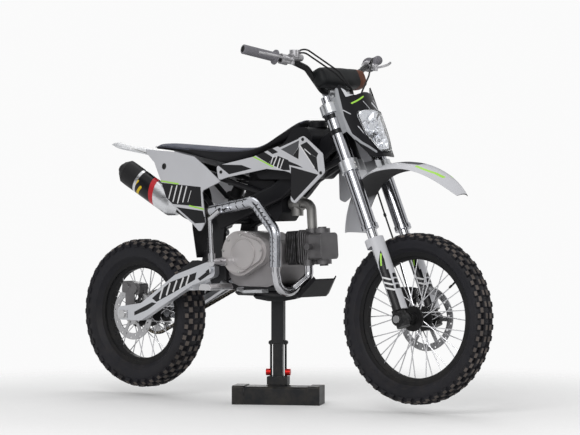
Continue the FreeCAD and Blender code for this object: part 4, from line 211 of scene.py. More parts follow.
# %% The steering axis and the straight fork's frame
rake = math.radians(24.0)
rest_turn = math.radians(4.0)
fork_offset = 0.040
up_leg = Vector((-math.sin(rake), 0, math.cos(rake)))
ahead_leg = Vector((math.cos(rake), 0, math.sin(rake)))
AHEAD, LEFT, UP = Vector((1, 0, 0)), Vector((0, 1, 0)), Vector((0, 0, 1))
front_centre = Vector((0.624, 0, 0.320))
rear_centre = Vector((-0.646, 0, 0.298))
steer_point = front_centre - ahead_leg * fork_offset
about = Matrix.Translation(steer_point)
steer = about @ Matrix.Rotation(rest_turn, 4, up_leg) @ Matrix.Translation(-steer_point)
front_axis = (steer.to_3x3() @ LEFT).normalized()
front_hub_at = steer @ front_centre
lamp_way = steer.to_3x3() @ ahead_leg


def on_fork(along, ahead, aside):
    """A point along the legs, ahead of them and to the left, with the bars turned."""
    return steer @ (front_centre + up_leg * along + ahead_leg * ahead + LEFT * aside)


print("front hub at", [round(value, 4) for value in front_hub_at])

# %% [markdown]
# ## Masks for painted shapes
# The plastics carry sharp black shapes and thin lime lines. A shape with straight sides is the
# overlap of half planes, and a line is all that lies near a segment. Both are worked out from the
# side or front view, so they stay sharp at any size, and need no image.

# %% Masks: half plane, line and round zone
BORDER = 2500.0  # a border is as wide as one over this, in metres

half_plane, given, wanted = start_group("half_plane", {"Side": None, "Limit": 0.0}, ["Inside"])
reach = arrow_sum(half_plane, "DOT_PRODUCT", given["Vector"], given["Side"])
left_over = sum_of(half_plane, "SUBTRACT", given["Limit"], reach)
feed(half_plane, wanted["Inside"], sum_of(half_plane, "MULTIPLY", left_over, BORDER, True))

painted_line, given, wanted = start_group(
    "painted_line", {"Start": None, "Run": None, "Plane": None, "Half width": 0.003}, ["Inside"]
)
offset = arrow_sum(painted_line, "SUBTRACT", given["Vector"], given["Start"])
flat = arrow_sum(painted_line, "MULTIPLY", offset, given["Plane"])
dot = arrow_sum(painted_line, "DOT_PRODUCT", flat, given["Run"])
square = arrow_sum(painted_line, "DOT_PRODUCT", given["Run"], given["Run"])
along = sum_of(painted_line, "DIVIDE", dot, square, True)
foot = put(painted_line, "VectorMath", {0: given["Run"], "Scale": along}, operation="SCALE").outputs[0]
near = sum_of(
    painted_line, "SUBTRACT", given["Half width"], arrow_sum(painted_line, "DISTANCE", flat, foot)
)
feed(painted_line, wanted["Inside"], sum_of(painted_line, "MULTIPLY", near, BORDER, True))

round_zone, given, wanted = start_group(
    "round_zone", {"Centre": None, "Axis": None, "Radius": 0.05}, ["Inside"]
)
offset = arrow_sum(round_zone, "SUBTRACT", given["Vector"], given["Centre"])
onto = arrow_sum(round_zone, "PROJECT", offset, given["Axis"])
near = sum_of(round_zone, "SUBTRACT", given["Radius"], arrow_sum(round_zone, "DISTANCE", offset, onto))
feed(round_zone, wanted["Inside"], sum_of(round_zone, "MULTIPLY", near, BORDER, True))

# %% [markdown]
# ## Masks as short calls
# Each function gives back a mask: another function, which adds its nodes to a material when that
# is built. The drawings are in millimetres, as on a printer's sheet: (x, z) in the side view and
# (y, z) in the front view.

# %% Masks as short calls
MM = 0.001


def in_view(a, b, view):
    """A drawn point of the side or front view, in metres."""
    return Vector((a * MM, 0, b * MM)) if view == "side" else Vector((0, a * MM, b * MM))


def folded(operation, masks):
    """The least or the most of several masks."""

    def mask(tree, vector):
        values = [one(tree, vector) for one in masks]
        whole = values[0]
        for other in values[1:]:
            whole = sum_of(tree, operation, whole, other)
        return whole

    return mask


def any_of(*masks):
    """The union of masks."""
    return folded("MAXIMUM", masks)


def all_of(*masks):
    """The overlap of masks."""
    return folded("MINIMUM", masks)


def not_in(other):
    """What lies outside a mask."""
    return lambda tree, vector: sum_of(tree, "SUBTRACT", 1.0, other(tree, vector))


def zone(group, feeds):
    """A mask from one of the groups above."""
    return lambda tree, vector: use(tree, group, {"Vector": vector, **feeds})["Inside"]


def behind(point, side):
    """What lies behind a plane that faces a direction."""
    return zone(half_plane, {"Side": side, "Limit": side.dot(point)})


def beyond(point, side):
    """What lies in front of such a plane."""
    return not_in(behind(point, side))


def round_mask(centre, axis, radius):
    """What lies within a radius of an axis."""
    return zone(round_zone, {"Centre": centre, "Axis": axis, "Radius": radius})


def shapes(*outlines, view="side"):
    """Convex shapes as one mask: each outline has its corners in order."""
    masks = []
    for corners in outlines:
        spots = [in_view(a, b, view) for a, b in corners]
        middle = sum(spots, Vector()) / len(spots)
        halves = []
        for start, end in zip(spots, spots[1:] + spots[:1]):
            side = (LEFT if view == "side" else AHEAD).cross(end - start).normalized()
            halves.append(behind(start, -side if side.dot(middle) > side.dot(start) else side))
        masks.append(all_of(*halves))
    return any_of(*masks)


def lines(*rows, view="side"):
    """Lines as one mask: each row is a width and two or more points."""
    runs = []
    for width, *points in rows:
        feeds = {"Plane": (1, 0, 1) if view == "side" else (0, 1, 1), "Half width": width / 2 * MM}
        spots = [in_view(a, b, view) for a, b in points]
        for start, end in zip(spots, spots[1:]):
            runs.append(zone(painted_line, {"Start": start, "Run": end - start, **feeds}))
    return any_of(*runs)


def straightened(mask):
    """A mask for a piece that steers, drawn as if the bars pointed straight ahead."""
    back = steer.inverted()

    def held(tree, vector):
        feeds = {"Vector": vector, "Rotation": back.to_euler(), "Location": back.translation}
        return mask(tree, put(tree, "Mapping", feeds).outputs[0])

    return held


def looks_down(limit):
    """Faces that look down more than a limit, where painted shade is laid."""

    def mask(tree, vector):
        up = axis_of(tree, surface_normal(tree), "Z")
        return sum_of(tree, "MULTIPLY", sum_of(tree, "SUBTRACT", -limit, up), 12.0, True)

    return mask


def outer_side(mask):
    """A mask on faces that look away from the bike's middle, so a panel's back stays plain."""

    def outward(tree, vector):
        side = sum_of(tree, "SIGN", axis_of(tree, vector, "Y"), 0.0)
        away = sum_of(tree, "MULTIPLY", axis_of(tree, surface_normal(tree), "Y"), side)
        return sum_of(tree, "GREATER_THAN", away, 0.05)

    return all_of(mask, outward)


# %% [markdown]
# ## One recipe for every finish
# A finish starts from its colour, roughness and metal. Patches change the first two a little,
# layers paint other finishes through masks, worn edges and dust come last. Grain and brush marks
# go into a bump whose base normal already has the rounded edges.

# %% The finish recipe
DUST = (0.20, 0.165, 0.125, 1.0)
DUST_ROUGH, WORN_ROUGH, COAT_ROUGH = 0.9, 0.38, 0.1
PATCH_SCALE, BRUSHED_PATCH_SCALE = 9.0, 30.0
GRAIN_DEPTH = 0.0006


def shade(colour, factor):
    """The colour, lighter or darker, as four numbers."""
    return tuple(min(1.0, c * factor) for c in colour[:3]) + (1.0,)


def new_material(name):
    """A material with nodes, and its tree."""
    made = bpy.data.materials.new(name)
    made.use_nodes = True
    return made, made.node_tree


def finish(
    name, colour, rough, metal=0.0, grain=900.0, bump=0.08, patch=0.10, edge=0.0, worn=(0.5, 0.5, 0.5),
    width=0.0015, dust=0.0, dust_top=0.5, layers=(), coat=0.0, brushed=None, specular=0.22,
):
    """A material: base, patches, painted layers, worn edges, dust, grain."""
    material, tree = new_material(name)
    place = put(tree, "TexCoord").outputs["Object"]
    drawn = put(tree, "Mapping", {"Vector": place, "Scale": brushed}).outputs[0] if brushed else place
    broad = BRUSHED_PATCH_SCALE if brushed else PATCH_SCALE
    marks = use(tree, fine_grain, {"Vector": drawn, "Scale": grain, "Patch scale": broad})
    edges = use(tree, worn_edges, {"Vector": place, "Width": width})

    def toned(paint):
        """A colour that is a little lighter and darker in patches."""
        return mixed(tree, marks["Patches"], shade(paint, 1 - patch), shade(paint, 1 + patch))

    hue = toned(colour)
    gloss = mixed(tree, marks["Patches"], rough * 0.88, min(1.0, rough * 1.15), "FLOAT")
    shine = metal
    for mask, other, other_rough, other_metal in layers:
        inside = mask(tree, place)
        hue = mixed(tree, inside, hue, toned(other))
        gloss = mixed(tree, inside, gloss, other_rough, "FLOAT")
        shine = mixed(tree, inside, shine, other_metal, "FLOAT")
    if edge:
        rubbed = sum_of(tree, "MULTIPLY", edges["Edge"], edge, True)
        hue = mixed(tree, rubbed, hue, (*worn, 1))
        gloss = mixed(tree, rubbed, gloss, WORN_ROUGH, "FLOAT")
    if dust:
        lies = use(tree, road_dust, {"Vector": place, "Top": dust_top})["Dust"]
        lies = sum_of(tree, "MULTIPLY", lies, dust, True)
        hue = mixed(tree, lies, hue, DUST)
        gloss = mixed(tree, lies, gloss, DUST_ROUGH, "FLOAT")
        shine = mixed(tree, lies, shine, 0.0, "FLOAT") if metal or layers else shine
    feeds = {"Height": marks["Height"], "Strength": bump, "Distance": GRAIN_DEPTH, "Normal": edges["Normal"]}
    lumps = put(tree, "Bump", feeds).outputs[0]
    for label, value in (
        ("Base Color", hue), ("Roughness", gloss), ("Metallic", shine), ("Coat Weight", coat),
        ("Coat Roughness", COAT_ROUGH), ("Specular IOR Level", specular), ("Normal", lumps),
    ):
        feed(tree, tree.nodes["Principled BSDF"].inputs[label], value)
    return material


def dress(names, material):
    """Gives solids their finish."""
    for name in names.split():
        for slot in solids[name].material_slots:
            slot.material = material
    print(material.name, "on", names)


# %% [markdown]
# ## The floor, the light and the air
# The floor is pale and fades out a few metres away, so there is no horizon. Camera rays, and rays
# that mirror or pass through glass, meet a white world; all other rays meet a calmer one. Polished
# tubes need something dark to mirror, so a few dark cards stand round the bike.


# %% The world
def seen_rays(tree):
    """One where a ray comes from the camera, a mirror or glass."""
    path = put(tree, "LightPath").outputs
    mirror = sum_of(tree, "MAXIMUM", path["Is Glossy Ray"], path["Is Transmission Ray"])
    return sum_of(tree, "MAXIMUM", path["Is Camera Ray"], mirror)


calm, bright = 0.44, 0.96
air = bpy.data.worlds.new("air")
bpy.context.scene.world = air
air.use_nodes = True
tree = air.node_tree
tree.nodes.clear()
strength = mixed(tree, seen_rays(tree), calm, bright, "FLOAT")
sky = put(tree, "Background", {"Color": (1, 1, 1, 1), "Strength": strength})
put(tree, "OutputWorld", {"Surface": sky.outputs[0]})
print("world strength:", calm, "and", bright, "where it is seen")


# %% The floor
def as_mesh(bm, name, *materials):
    """Turns a bmesh into a mesh with its materials."""
    mesh = bpy.data.meshes.new(name)
    bm.to_mesh(mesh)
    bm.free()
    for material in materials:
        mesh.materials.append(material)
    return mesh


floor_r, fade_from, fade_to = 6.0, 0.9, 2.2
screed, tree = new_material("pale_floor")
tree.nodes.clear()
place = put(tree, "TexCoord").outputs["Object"]
from_middle = put(tree, "VectorMath", {0: place}, operation="LENGTH").outputs["Value"]
fade = ranged(tree, from_middle, fade_from, fade_to, interpolation_type="SMOOTHSTEP")
matt = put(tree, "BsdfDiffuse", {"Color": (0.86, 0.86, 0.86, 1)})
glow_strength = mixed(tree, seen_rays(tree), 0.0, 0.12, "FLOAT")
glow = put(tree, "Emission", {"Color": (1, 1, 1, 1), "Strength": glow_strength})
lit = put(tree, "AddShader", {0: matt.outputs[0], 1: glow.outputs[0]})
clear = put(tree, "BsdfTransparent")
shown = put(tree, "MixShader", {0: fade, 1: lit.outputs[0], 2: clear.outputs[0]})
put(tree, "OutputMaterial", {"Surface": shown.outputs[0]})

ground = bmesh.new()
bmesh.ops.create_circle(ground, cap_ends=True, segments=96, radius=floor_r)
show("floor", as_mesh(ground, "floor", screed))
print("floor", floor_r * 2, "m wide")


# %% Soft lamps
def soft_lamp(name, at, size, power):
    """A large soft lamp that faces the bike."""
    light = bpy.data.lights.new(name, "AREA")
    light.shape = "DISK"
    light.size = size
    light.energy = power
    show(name, light).matrix_world = looking(Vector(at), bike_middle - Vector(at))
    print("lamp", name, power, "W")


bike_middle = Vector((0, 0, 0.6))
soft_lamp("key", (2.2, -4.2, 3.2), 2.4, 92)
soft_lamp("side", (5.0, 0.6, 2.2), 2.2, 36)
soft_lamp("top", (-0.6, 0.8, 4.6), 3.0, 34)
soft_lamp("back", (-3.6, 3.4, 2.6), 2.0, 36)


# %% Dark cards that only mirrors see
def sheet(wide, tall, columns=1, rows=1):
    """A flat grid of a size, about the origin."""
    bm = bmesh.new()
    bmesh.ops.create_grid(bm, x_segments=columns, y_segments=rows, size=0.5)
    bmesh.ops.scale(bm, vec=(wide, tall, 1), verts=bm.verts[:])
    return bm


def moved(bm, matrix, verts=None):
    """Places a bmesh, or some of its points."""
    bmesh.ops.transform(bm, matrix=matrix, verts=verts or bm.verts[:])


card_black, tree = new_material("card_black")
card_shader = tree.nodes["Principled BSDF"].inputs
feed(tree, card_shader["Base Color"], (0.01, 0.01, 0.01, 1))
feed(tree, card_shader["Roughness"], 0.9)
card_far, card_tall, card_lift = 3.4, 3.2, 0.02
for i, (degrees, wide) in enumerate(((-22, 1.5), (78, 1.1), (118, 1.9), (205, 1.7), (278, 1.5))):
    turn = math.radians(degrees)
    spot = Vector((math.sin(turn) * card_far, -math.cos(turn) * card_far, card_tall / 2 + card_lift))
    bm = sheet(wide, card_tall)
    moved(bm, looking(spot, Vector((-spot.x, -spot.y, 0)), "Z"))
    card = show("dark_card_%d" % (i + 1), as_mesh(bm, "dark_card", card_black))
    for ray in ("camera", "diffuse", "transmission", "shadow", "volume_scatter"):
        setattr(card, "visible_" + ray, False)
    print(card.name, "at", degrees, "degrees")

# %% [markdown]
# ## Finishes of the solids
# Powder coat on the frame, moulded plastic on the body, cast and painted alloy on the engine, and
# polished, brushed or plated metal on the running gear. Each is one call of the recipe, which says
# how rough and how metallic it is, how coarse its grain is, and what shows where an edge is worn.

# %% Plastics and paint
WHITE = (0.62, 0.625, 0.655)
FILM_WHITE = (0.80, 0.80, 0.81)
BLACK = (0.012, 0.012, 0.014)
LIME = (0.42, 0.80, 0.10)
GREY = (0.085, 0.087, 0.095)
PALE = (0.62, 0.63, 0.66)
black_plastic = finish(
    "black_plastic", (0.011, 0.011, 0.013), 0.44, grain=1400, bump=0.12, edge=0.35, worn=(0.06, 0.06, 0.07),
    dust=0.12, specular=0.14,
)
matt_black = finish(
    "matt_black", (0.014, 0.014, 0.015), 0.55, grain=800, bump=0.15, edge=0.3, worn=(0.10, 0.10, 0.10),
    dust=0.15, specular=0.16,
)
dress("fuel_tank fuel_cap skid_plate mud_flap air_box", black_plastic)
dress("front_brake_caliper front_rim rear_rim control_cables", matt_black)
dress("frame", finish(
    "frame_powder_coat", BLACK, 0.34, grain=520, bump=0.10, edge=0.5, worn=(0.12, 0.12, 0.13), dust=0.15,
    specular=0.2,
))
dress("stand_foot stand_column", finish(
    "stand_powder_coat", (0.014, 0.015, 0.017), 0.42, grain=600, bump=0.14, edge=0.8,
    worn=(0.20, 0.20, 0.21), dust=0.5, dust_top=0.35,
))
dress("handlebar", finish(
    "bar_black", (0.012, 0.012, 0.013), 0.30, metal=0.2, grain=500, bump=0.05, edge=0.5,
    worn=(0.3, 0.3, 0.3),
))

# %% Cast and painted alloy
dress("cylinder_barrel", finish(
    "cast_dark_alloy", (0.045, 0.044, 0.046), 0.46, metal=0.4, grain=950, bump=0.35, patch=0.2, edge=1.0,
    worn=(0.34, 0.34, 0.35), dust=0.35, dust_top=0.7,
))
dress("cylinder_head rear_brake_caliper", finish(
    "head_alloy", (0.15, 0.146, 0.150), 0.40, metal=0.6, bump=0.35, patch=0.3, edge=1.0,
    worn=(0.50, 0.49, 0.50), dust=0.2,
))
dress("engine_case", finish(
    "case_grey", (0.30, 0.288, 0.295), 0.44, metal=0.45, grain=950, bump=0.3, patch=0.15, edge=0.9,
    worn=(0.42, 0.42, 0.42), dust=0.4, dust_top=0.62,
))
dress("clutch_cover", finish(
    "cover_champagne", (0.50, 0.475, 0.475), 0.36, metal=0.35, grain=1500, bump=0.06, patch=0.05, edge=0.35,
    worn=(0.62, 0.60, 0.56), width=0.003, dust=0.25, coat=0.25,
))
dress("carburettor", finish(
    "cast_alloy", (0.30, 0.295, 0.285), 0.42, metal=0.8, bump=0.3, patch=0.18, edge=0.6,
    worn=(0.6, 0.6, 0.6), dust=0.2,
))
dress("hand_levers", finish(
    "lever_alloy", (0.42, 0.415, 0.43), 0.36, metal=0.7, bump=0.2, patch=0.2, edge=0.7, worn=(0.7, 0.7, 0.7),
))
dress("triple_clamps foot_controls", finish(
    "silver_alloy", (0.52, 0.53, 0.55), 0.32, metal=0.9, grain=700, bump=0.12, patch=0.08, edge=0.4,
    worn=(0.8, 0.8, 0.8), dust=0.2,
))
dress("stand_knobs", finish(
    "red_anodised", (0.50, 0.015, 0.012), 0.32, metal=0.55, grain=500, bump=0.06, edge=0.5,
    worn=(0.7, 0.25, 0.2),
))

# %% Steel, chrome and brushed metal
dress("foot_pegs front_axle rear_axle front_sprocket rear_sprocket side_stand", finish(
    "bare_steel", (0.52, 0.52, 0.53), 0.28, metal=1.0, grain=500, patch=0.12, edge=0.4,
    worn=(0.75, 0.75, 0.75), dust=0.25,
))
dress("heat_shield", finish(
    "shield_steel", (0.42, 0.43, 0.46), 0.20, metal=1.0, grain=160, bump=0.04, patch=0.08, edge=0.5,
    worn=(0.8, 0.8, 0.82), width=0.001, dust=0.05,
))
dress("kick_lever", finish(
    "chrome_plate", (0.50, 0.50, 0.52), 0.14, metal=1.0, grain=120, bump=0.02, patch=0.05, dust=0.15,
))
dress("fork_tubes", finish(
    "fork_alloy", (0.36, 0.365, 0.39), 0.15, metal=1.0, grain=300, bump=0.04, patch=0.05, edge=0.2,
    dust=0.1, brushed=(1, 1, 9),
))
dress("front_disc rear_disc", finish(
    "disc_steel", (0.38, 0.38, 0.39), 0.27, metal=1.0, grain=260, bump=0.1, dust=0.1, brushed=(1, 6, 1),
))

# %% [markdown]
# ## Painted shapes on the plastics
# Printed film covers much of the body work: black wedges, thin lime lines and rows of slanted
# white bars. Each is a layer of the recipe, over the white plastic and under the dust.

# %% Film on the tank shrouds
PLASTIC = dict(grain=700, bump=0.03, patch=0.03, edge=0.10, dust=0.12, specular=0.15)


def film_or_shade(mask, colour=BLACK, rough=0.28):
    """A layer of printed film, or of painted shade."""
    return (mask, colour, rough, 0.0)


shroud_black = shapes(
    ((-190, 839), (-130, 804), (-23, 824), (-71, 837)),
    ((-12, 873), (57, 843), (81, 863), (36, 883)),
    ((57, 843), (132, 820), (165, 820), (156, 855), (106, 869), (81, 863)),
    ((176, 869), (208, 901), (206, 858)),
    ((212, 906), (245, 918), (306, 878), (298, 864), (225, 892)),
    ((225, 892), (298, 864), (309, 813), (282, 832)),
    ((156, 852), (207, 838), (232, 828), (160, 838)),
    ((169, 832), (309, 806), (190, 715), (169, 735)),
    ((40, 893), (68, 899), (105, 882), (77, 875)),
    ((91, 906), (198, 939), (205, 928), (111, 898)),
)
shroud_bars = lines(
    (5, (81, 869), (70, 843)), (5.5, (98, 866), (82, 836)), (6, (114, 860), (101, 827)),
    (5, (131, 857), (116, 826)), (4.5, (208, 909), (287, 830)), (4, (236, 893), (266, 875)),
)
shroud_grey = shapes(((117, 892), (207, 923), (204, 898), (176, 869)))
dress("tank_shrouds", finish("shroud_plastic", WHITE, 0.30, **PLASTIC, layers=(
    film_or_shade(outer_side(shroud_black)), film_or_shade(outer_side(shroud_grey), GREY),
    film_or_shade(outer_side(shroud_bars), FILM_WHITE), film_or_shade(outer_side(lines((5.5, (-26, 870), (80, 832)))), LIME),
)))

# %% Film on the side panels, and film and painted shade on the rear mudguard
panel_black = shapes(
    ((-473, 773), (-269, 759), (-256, 689), (-401, 697), (-441, 722)),
    ((-382, 687), (-249, 675), (-230, 633), (-282, 630)),
)
panel_bars = lines(
    (5.5, (-412, 760), (-423, 718)), (6, (-387, 762), (-400, 707)), (6.5, (-362, 761), (-376, 702)),
    (6, (-338, 759), (-350, 706)), (3, (-314, 745), (-325, 706)),
)
panel_lime = lines((5.5, (-477, 779), (-381, 769)), (5.5, (-316, 692), (-247, 681)))
dress("side_panels", finish("side_panel_plastic", WHITE, 0.32, **PLASTIC, layers=(
    film_or_shade(outer_side(panel_black)), film_or_shade(outer_side(panel_bars), FILM_WHITE),
    film_or_shade(outer_side(panel_lime), LIME),
)))
fender_dark = any_of(
    shapes(((-614, 900), (-502, 880), (-474, 868), (-574, 884))),
    lines((2.6, (-690, 898), (-510, 867), (-462, 853))),
)
dress("rear_fender", finish(
    "tail_plastic", (0.50, 0.51, 0.53), 0.42, **(PLASTIC | dict(specular=0.12)),
    # Painted shade: faces that look down are darkened to grey.
    layers=(film_or_shade(fender_dark, (0.05, 0.045, 0.042)), film_or_shade(looks_down(0.35), (0.30, 0.30, 0.31), 0.6)),
))

# %% Film and painted shade on the front mudguard
dress("front_fender", finish("front_guard_plastic", WHITE, 0.38, **PLASTIC, layers=(
    film_or_shade(straightened(lines((7, (470, 847.5), (557, 849.5), (642, 842.5)))), GREY),
    film_or_shade(straightened(lines((5, (640, 835), (714, 811), (740, 798)))), LIME),
    # Painted shade: faces that look down are darkened to near black.
    film_or_shade(looks_down(0.30), (0.07, 0.07, 0.072), 0.6),
)))

# %% Film on the lamp mask
mask_side = ((100, 1094), (106.5, 1001), (102, 941), (82, 913), (45, 884))
mask_edge = lines((9, *mask_side), (9, *((-y, z) for y, z in mask_side)), view="front")
mask_light = any_of(
    shapes(((-88, 1100), (-66, 1080), (-83, 1068)), view="front"),
    lines(
        (6, (-80, 1072), (-44, 1084)), (3.5, (-100, 1022), (-86, 1010)), (3.5, (-76, 968), (-62, 938)),
        (8, (17, 1050), (62, 1018)), (4.5, (34, 1060), (78, 1028)), (3, (-28, 1056), (-8, 1030)),
        view="front",
    ),
)
dress("headlight_mask", finish(
    "mask_plastic", (0.010, 0.010, 0.012), 0.28, bump=0.05, patch=0.08, edge=0.3, worn=(0.08, 0.08, 0.08),
    specular=0.16,
    layers=(
        film_or_shade(straightened(mask_edge), (0.36, 0.37, 0.39)), film_or_shade(straightened(mask_light), PALE),
        film_or_shade(straightened(lines((5, (-72, 1047), (-20, 1072)), view="front")), LIME),
    ),
))

# %% Film on the fork guards
guard_black = any_of(
    shapes(
        ((549, 562), (565, 518), (580, 487), (558, 472), (549, 507)),
        ((553, 478), (580, 488), (616, 404), (572, 395)),
        ((568, 412), (616, 405), (640, 350), (600, 340)),
    ),
    lines((4, (592, 474), (596, 463)), (4, (600, 455), (604, 444)), (4, (608, 436), (612, 425))),
)
guard_bars = lines(
    (6, (556, 461), (592, 453)), (6, (564, 444), (600, 436)), (6, (571, 427), (608, 419))
)
dress("fork_guards", finish(
    "fork_guard_plastic", WHITE, 0.30, **(PLASTIC | dict(dust=0.15, specular=0.2)),
    layers=(
        film_or_shade(straightened(guard_black)), film_or_shade(straightened(guard_bars), FILM_WHITE),
        film_or_shade(straightened(lines((5, (552, 537), (559, 499)))), LIME),
    ),
))

# %% Film on the swingarm
arm_top = beyond(Vector((-0.27, 0, 0.484)), Vector((-0.30, 0, 0.95)).normalized())
arm_black = any_of(
    shapes(
        ((-591, 308), (-503, 345), (-481, 342), (-525, 317), (-591, 294)),
        ((-503, 359), (-415, 419), (-285, 458), (-293, 431), (-393, 384), (-481, 346)),
        ((-280, 435), (-219, 472), (-215, 456), (-269, 427)),
    ),
    all_of(arm_top, beyond(AHEAD * -0.47, AHEAD)),
)
arm_bars = lines(
    (7.5, (-448, 402), (-464, 360)), (7.5, (-415, 414), (-431, 374)), (7.5, (-382, 424), (-399, 387)),
    (7.5, (-350, 435), (-366, 400)), (7.5, (-323, 444), (-336, 412)),
)
dress("swingarm", finish(
    "swingarm_alloy", (0.60, 0.61, 0.64), 0.34, metal=0.55, grain=700, bump=0.10, patch=0.06, edge=0.4,
    worn=(0.8, 0.8, 0.8), dust=0.15, layers=(film_or_shade(arm_black, rough=0.36), film_or_shade(arm_bars, FILM_WHITE, 0.36)),
))

# %% [markdown]
# ## Two finishes on one solid
# A fork leg is chrome with a black foot, a hub is black with bright spokes, and the exhaust
# header carries painted shade: it is dark where it leaves the head and runs under the heat shield.
# A plane or a cylinder in space parts the two finishes, so the solid needs no cut.

# %% Fork feet, hubs and exhaust header
# Painted shade: the header is dark where it runs under the heat shield, so the shield's slots look shaded.
SHIELD_SHADE = (0.02, 0.018, 0.016)
dress("exhaust_pipe", finish(
    "header_steel", (0.50, 0.50, 0.52), 0.16, metal=1.0, grain=160, bump=0.04, patch=0.08, dust=0.15,
    layers=(film_or_shade(all_of(beyond(UP * 0.47, UP), behind(AHEAD * 0.08, AHEAD)), SHIELD_SHADE, 0.6),),
))
leg_foot = straightened(behind(front_centre + up_leg * 0.052, up_leg))
dress("fork_sliders", finish(
    "fork_slider_chrome", (0.58, 0.585, 0.61), 0.12, metal=1.0, grain=200, bump=0.02, patch=0.05, dust=0.12,
    layers=((leg_foot, (0.016, 0.016, 0.017), 0.42, 0.1),),
))
for name, centre, axis, hub_r in (
    ("front_hub", front_hub_at, front_axis, 0.0445), ("rear_hub", rear_centre, LEFT, 0.0525),
):
    dress(name, finish(
        name + "_black", (0.66, 0.66, 0.68), 0.25, metal=1.0, grain=500, patch=0.12, dust=0.15,
        layers=((round_mask(centre, axis, hub_r), (0.018, 0.018, 0.019), 0.36, 0.3),),
    ))

# %% The silencer's sleeve and end cap
can_pitch, can_yaw = math.radians(31.0), math.radians(8.0)
can_front = Vector((-0.410, 0, 0.677))
can_back = Vector((
    -math.cos(can_pitch) * math.cos(can_yaw), -math.cos(can_pitch) * math.sin(can_yaw), math.sin(can_pitch)
))


def past(reach, lean=0.0):
    """What lies further back along the can than a reach; a lean slants the border."""
    return beyond(can_front + can_back * reach, (can_back + UP * lean).normalized())


slant = -0.35
red_from, black_from, sleeve_end, cap_from = 0.118, 0.139, 0.196, 0.207
sleeve = not_in(past(sleeve_end))
can_marks = lines((10, (-560, 778), (-592, 752)), (10, (-548, 756), (-580, 730)))
dress("silencer", finish(
    "silencer_can", (0.62, 0.63, 0.65), 0.30, metal=0.95, grain=700, bump=0.12, patch=0.08, edge=0.4,
    worn=(0.8, 0.8, 0.8), dust=0.15, brushed=(1, 1, 6),
    layers=(
        film_or_shade(all_of(past(red_from, slant), sleeve), (0.55, 0.03, 0.04)),
        film_or_shade(all_of(past(black_from, slant), sleeve)),
        film_or_shade(all_of(past(black_from, slant), sleeve, can_marks), (0.80, 0.56, 0.02)),
        (past(cap_from), (0.018, 0.018, 0.019), 0.5, 0.1),
    ),
))

# %% [markdown]
# ## Pieces made in mesh code
# Every new piece starts from a few vertices or a basic bmesh shape, and operators do the rest. The
# piece then rides on a body of the frame, and hides the plain solid that it stands for.

# %% Helpers for pieces
ORIGIN = (0, 0, 0)


def make_piece(name, bm, body, materials, stands_for=None, smooth=True, sharp=None):
    """Turns a bmesh into an object that rides on a body; sharp is an angle in degrees."""
    mesh = as_mesh(bm, name, *materials)
    mesh.polygons.foreach_set("use_smooth", [smooth] * len(mesh.polygons))
    if sharp:
        mesh.set_sharp_from_angle(angle=math.radians(sharp))
    made = show(name, mesh)
    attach(made, body)
    if stands_for:
        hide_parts(stands_for)
    print(name, len(mesh.polygons), "faces")
    return made


def spun(profile, centre, axis, steps, closed=True):
    """A profile turned a full circle about an axis."""
    bm = bmesh.new()
    points = [bm.verts.new(p) for p in profile]
    pairs = list(zip(points, points[1:])) + ([(points[-1], points[0])] if closed else [])
    edges = [bm.edges.new(pair) for pair in pairs]
    bmesh.ops.spin(
        bm, geom=points + edges, cent=centre, axis=axis, angle=2 * math.pi, steps=steps, use_merge=True
    )
    bmesh.ops.remove_doubles(bm, verts=bm.verts[:], dist=1e-6)
    bmesh.ops.recalc_face_normals(bm, faces=bm.faces[:])
    return bm


def turned(pairs, steps, closed=False):
    """A profile of (radius, height) pairs, turned about Z."""
    return spun([Vector((r, 0, z)) for r, z in pairs], ORIGIN, UP, steps, closed)


def skinned(rings, ends):
    """Rings of points joined into a skin, with some of its ends closed."""
    bm = bmesh.new()
    loops = []
    for points in rings:
        ring = [bm.verts.new(p) for p in points]
        loops.append([bm.edges.new(pair) for pair in zip(ring, ring[1:] + ring[:1])])
    for a, b in zip(loops, loops[1:]):
        bmesh.ops.bridge_loops(bm, edges=a + b)
    for end in ends:
        bmesh.ops.contextual_create(bm, geom=loops[end])
    bmesh.ops.recalc_face_normals(bm, faces=bm.faces[:])
    return bm


def box(x, y, z):
    """A box of a size, about the origin."""
    bm = bmesh.new()
    bmesh.ops.create_cube(bm, size=1.0)
    bmesh.ops.scale(bm, vec=(x, y, z), verts=bm.verts[:])
    return bm


def rod(bm, radius, depth, segments, place=Matrix()):
    """Adds a capped rod, and gives back its points."""
    return bmesh.ops.create_cone(
        bm, cap_ends=True, segments=segments, radius1=radius, radius2=radius, depth=depth, matrix=place
    )["verts"]


def softened(bm, edges, offset, segments):
    """Rounds some edges."""
    bmesh.ops.bevel(
        bm, geom=edges, offset=offset, segments=segments, affect="EDGES", profile=0.5, material=-1
    )


def crowned(piece):
    """Smooths a cushion."""
    smooth = piece.modifiers.new("smooth", "SUBSURF")
    smooth.levels = smooth.render_levels = 1


def walled(piece, thick, offset):
    """Gives a sheet its thickness."""
    wall = piece.modifiers.new("wall", "SOLIDIFY")
    wall.thickness, wall.offset = thick, offset


def stamp(bm, mesh, place):
    """Adds a copy of a small mesh at a place."""
    mesh.transform(place)
    bm.from_mesh(mesh)
    mesh.transform(place.inverted())


def frame_at(origin, x_axis, z_axis):
    """A placement whose X and Z point as given."""
    z = z_axis.normalized()
    y = z.cross(x_axis).normalized()
    return Matrix.Translation(origin) @ Matrix((y.cross(z), y, z)).transposed().to_4x4()


def round_way(turn):
    """The way out from an axle in the side view, at an angle from X towards Z."""
    return Vector((math.cos(turn), 0, math.sin(turn)))


# %% [markdown]
# ## Tyres
# An off-road tyre is a thin round casing with rubber blocks moulded on it. The casing is a profile
# turned about the axle. One block is a tapered box with softened edges, and it is stamped in
# rows: a pair in the middle, a pair between, and a pair that leans out over each shoulder.

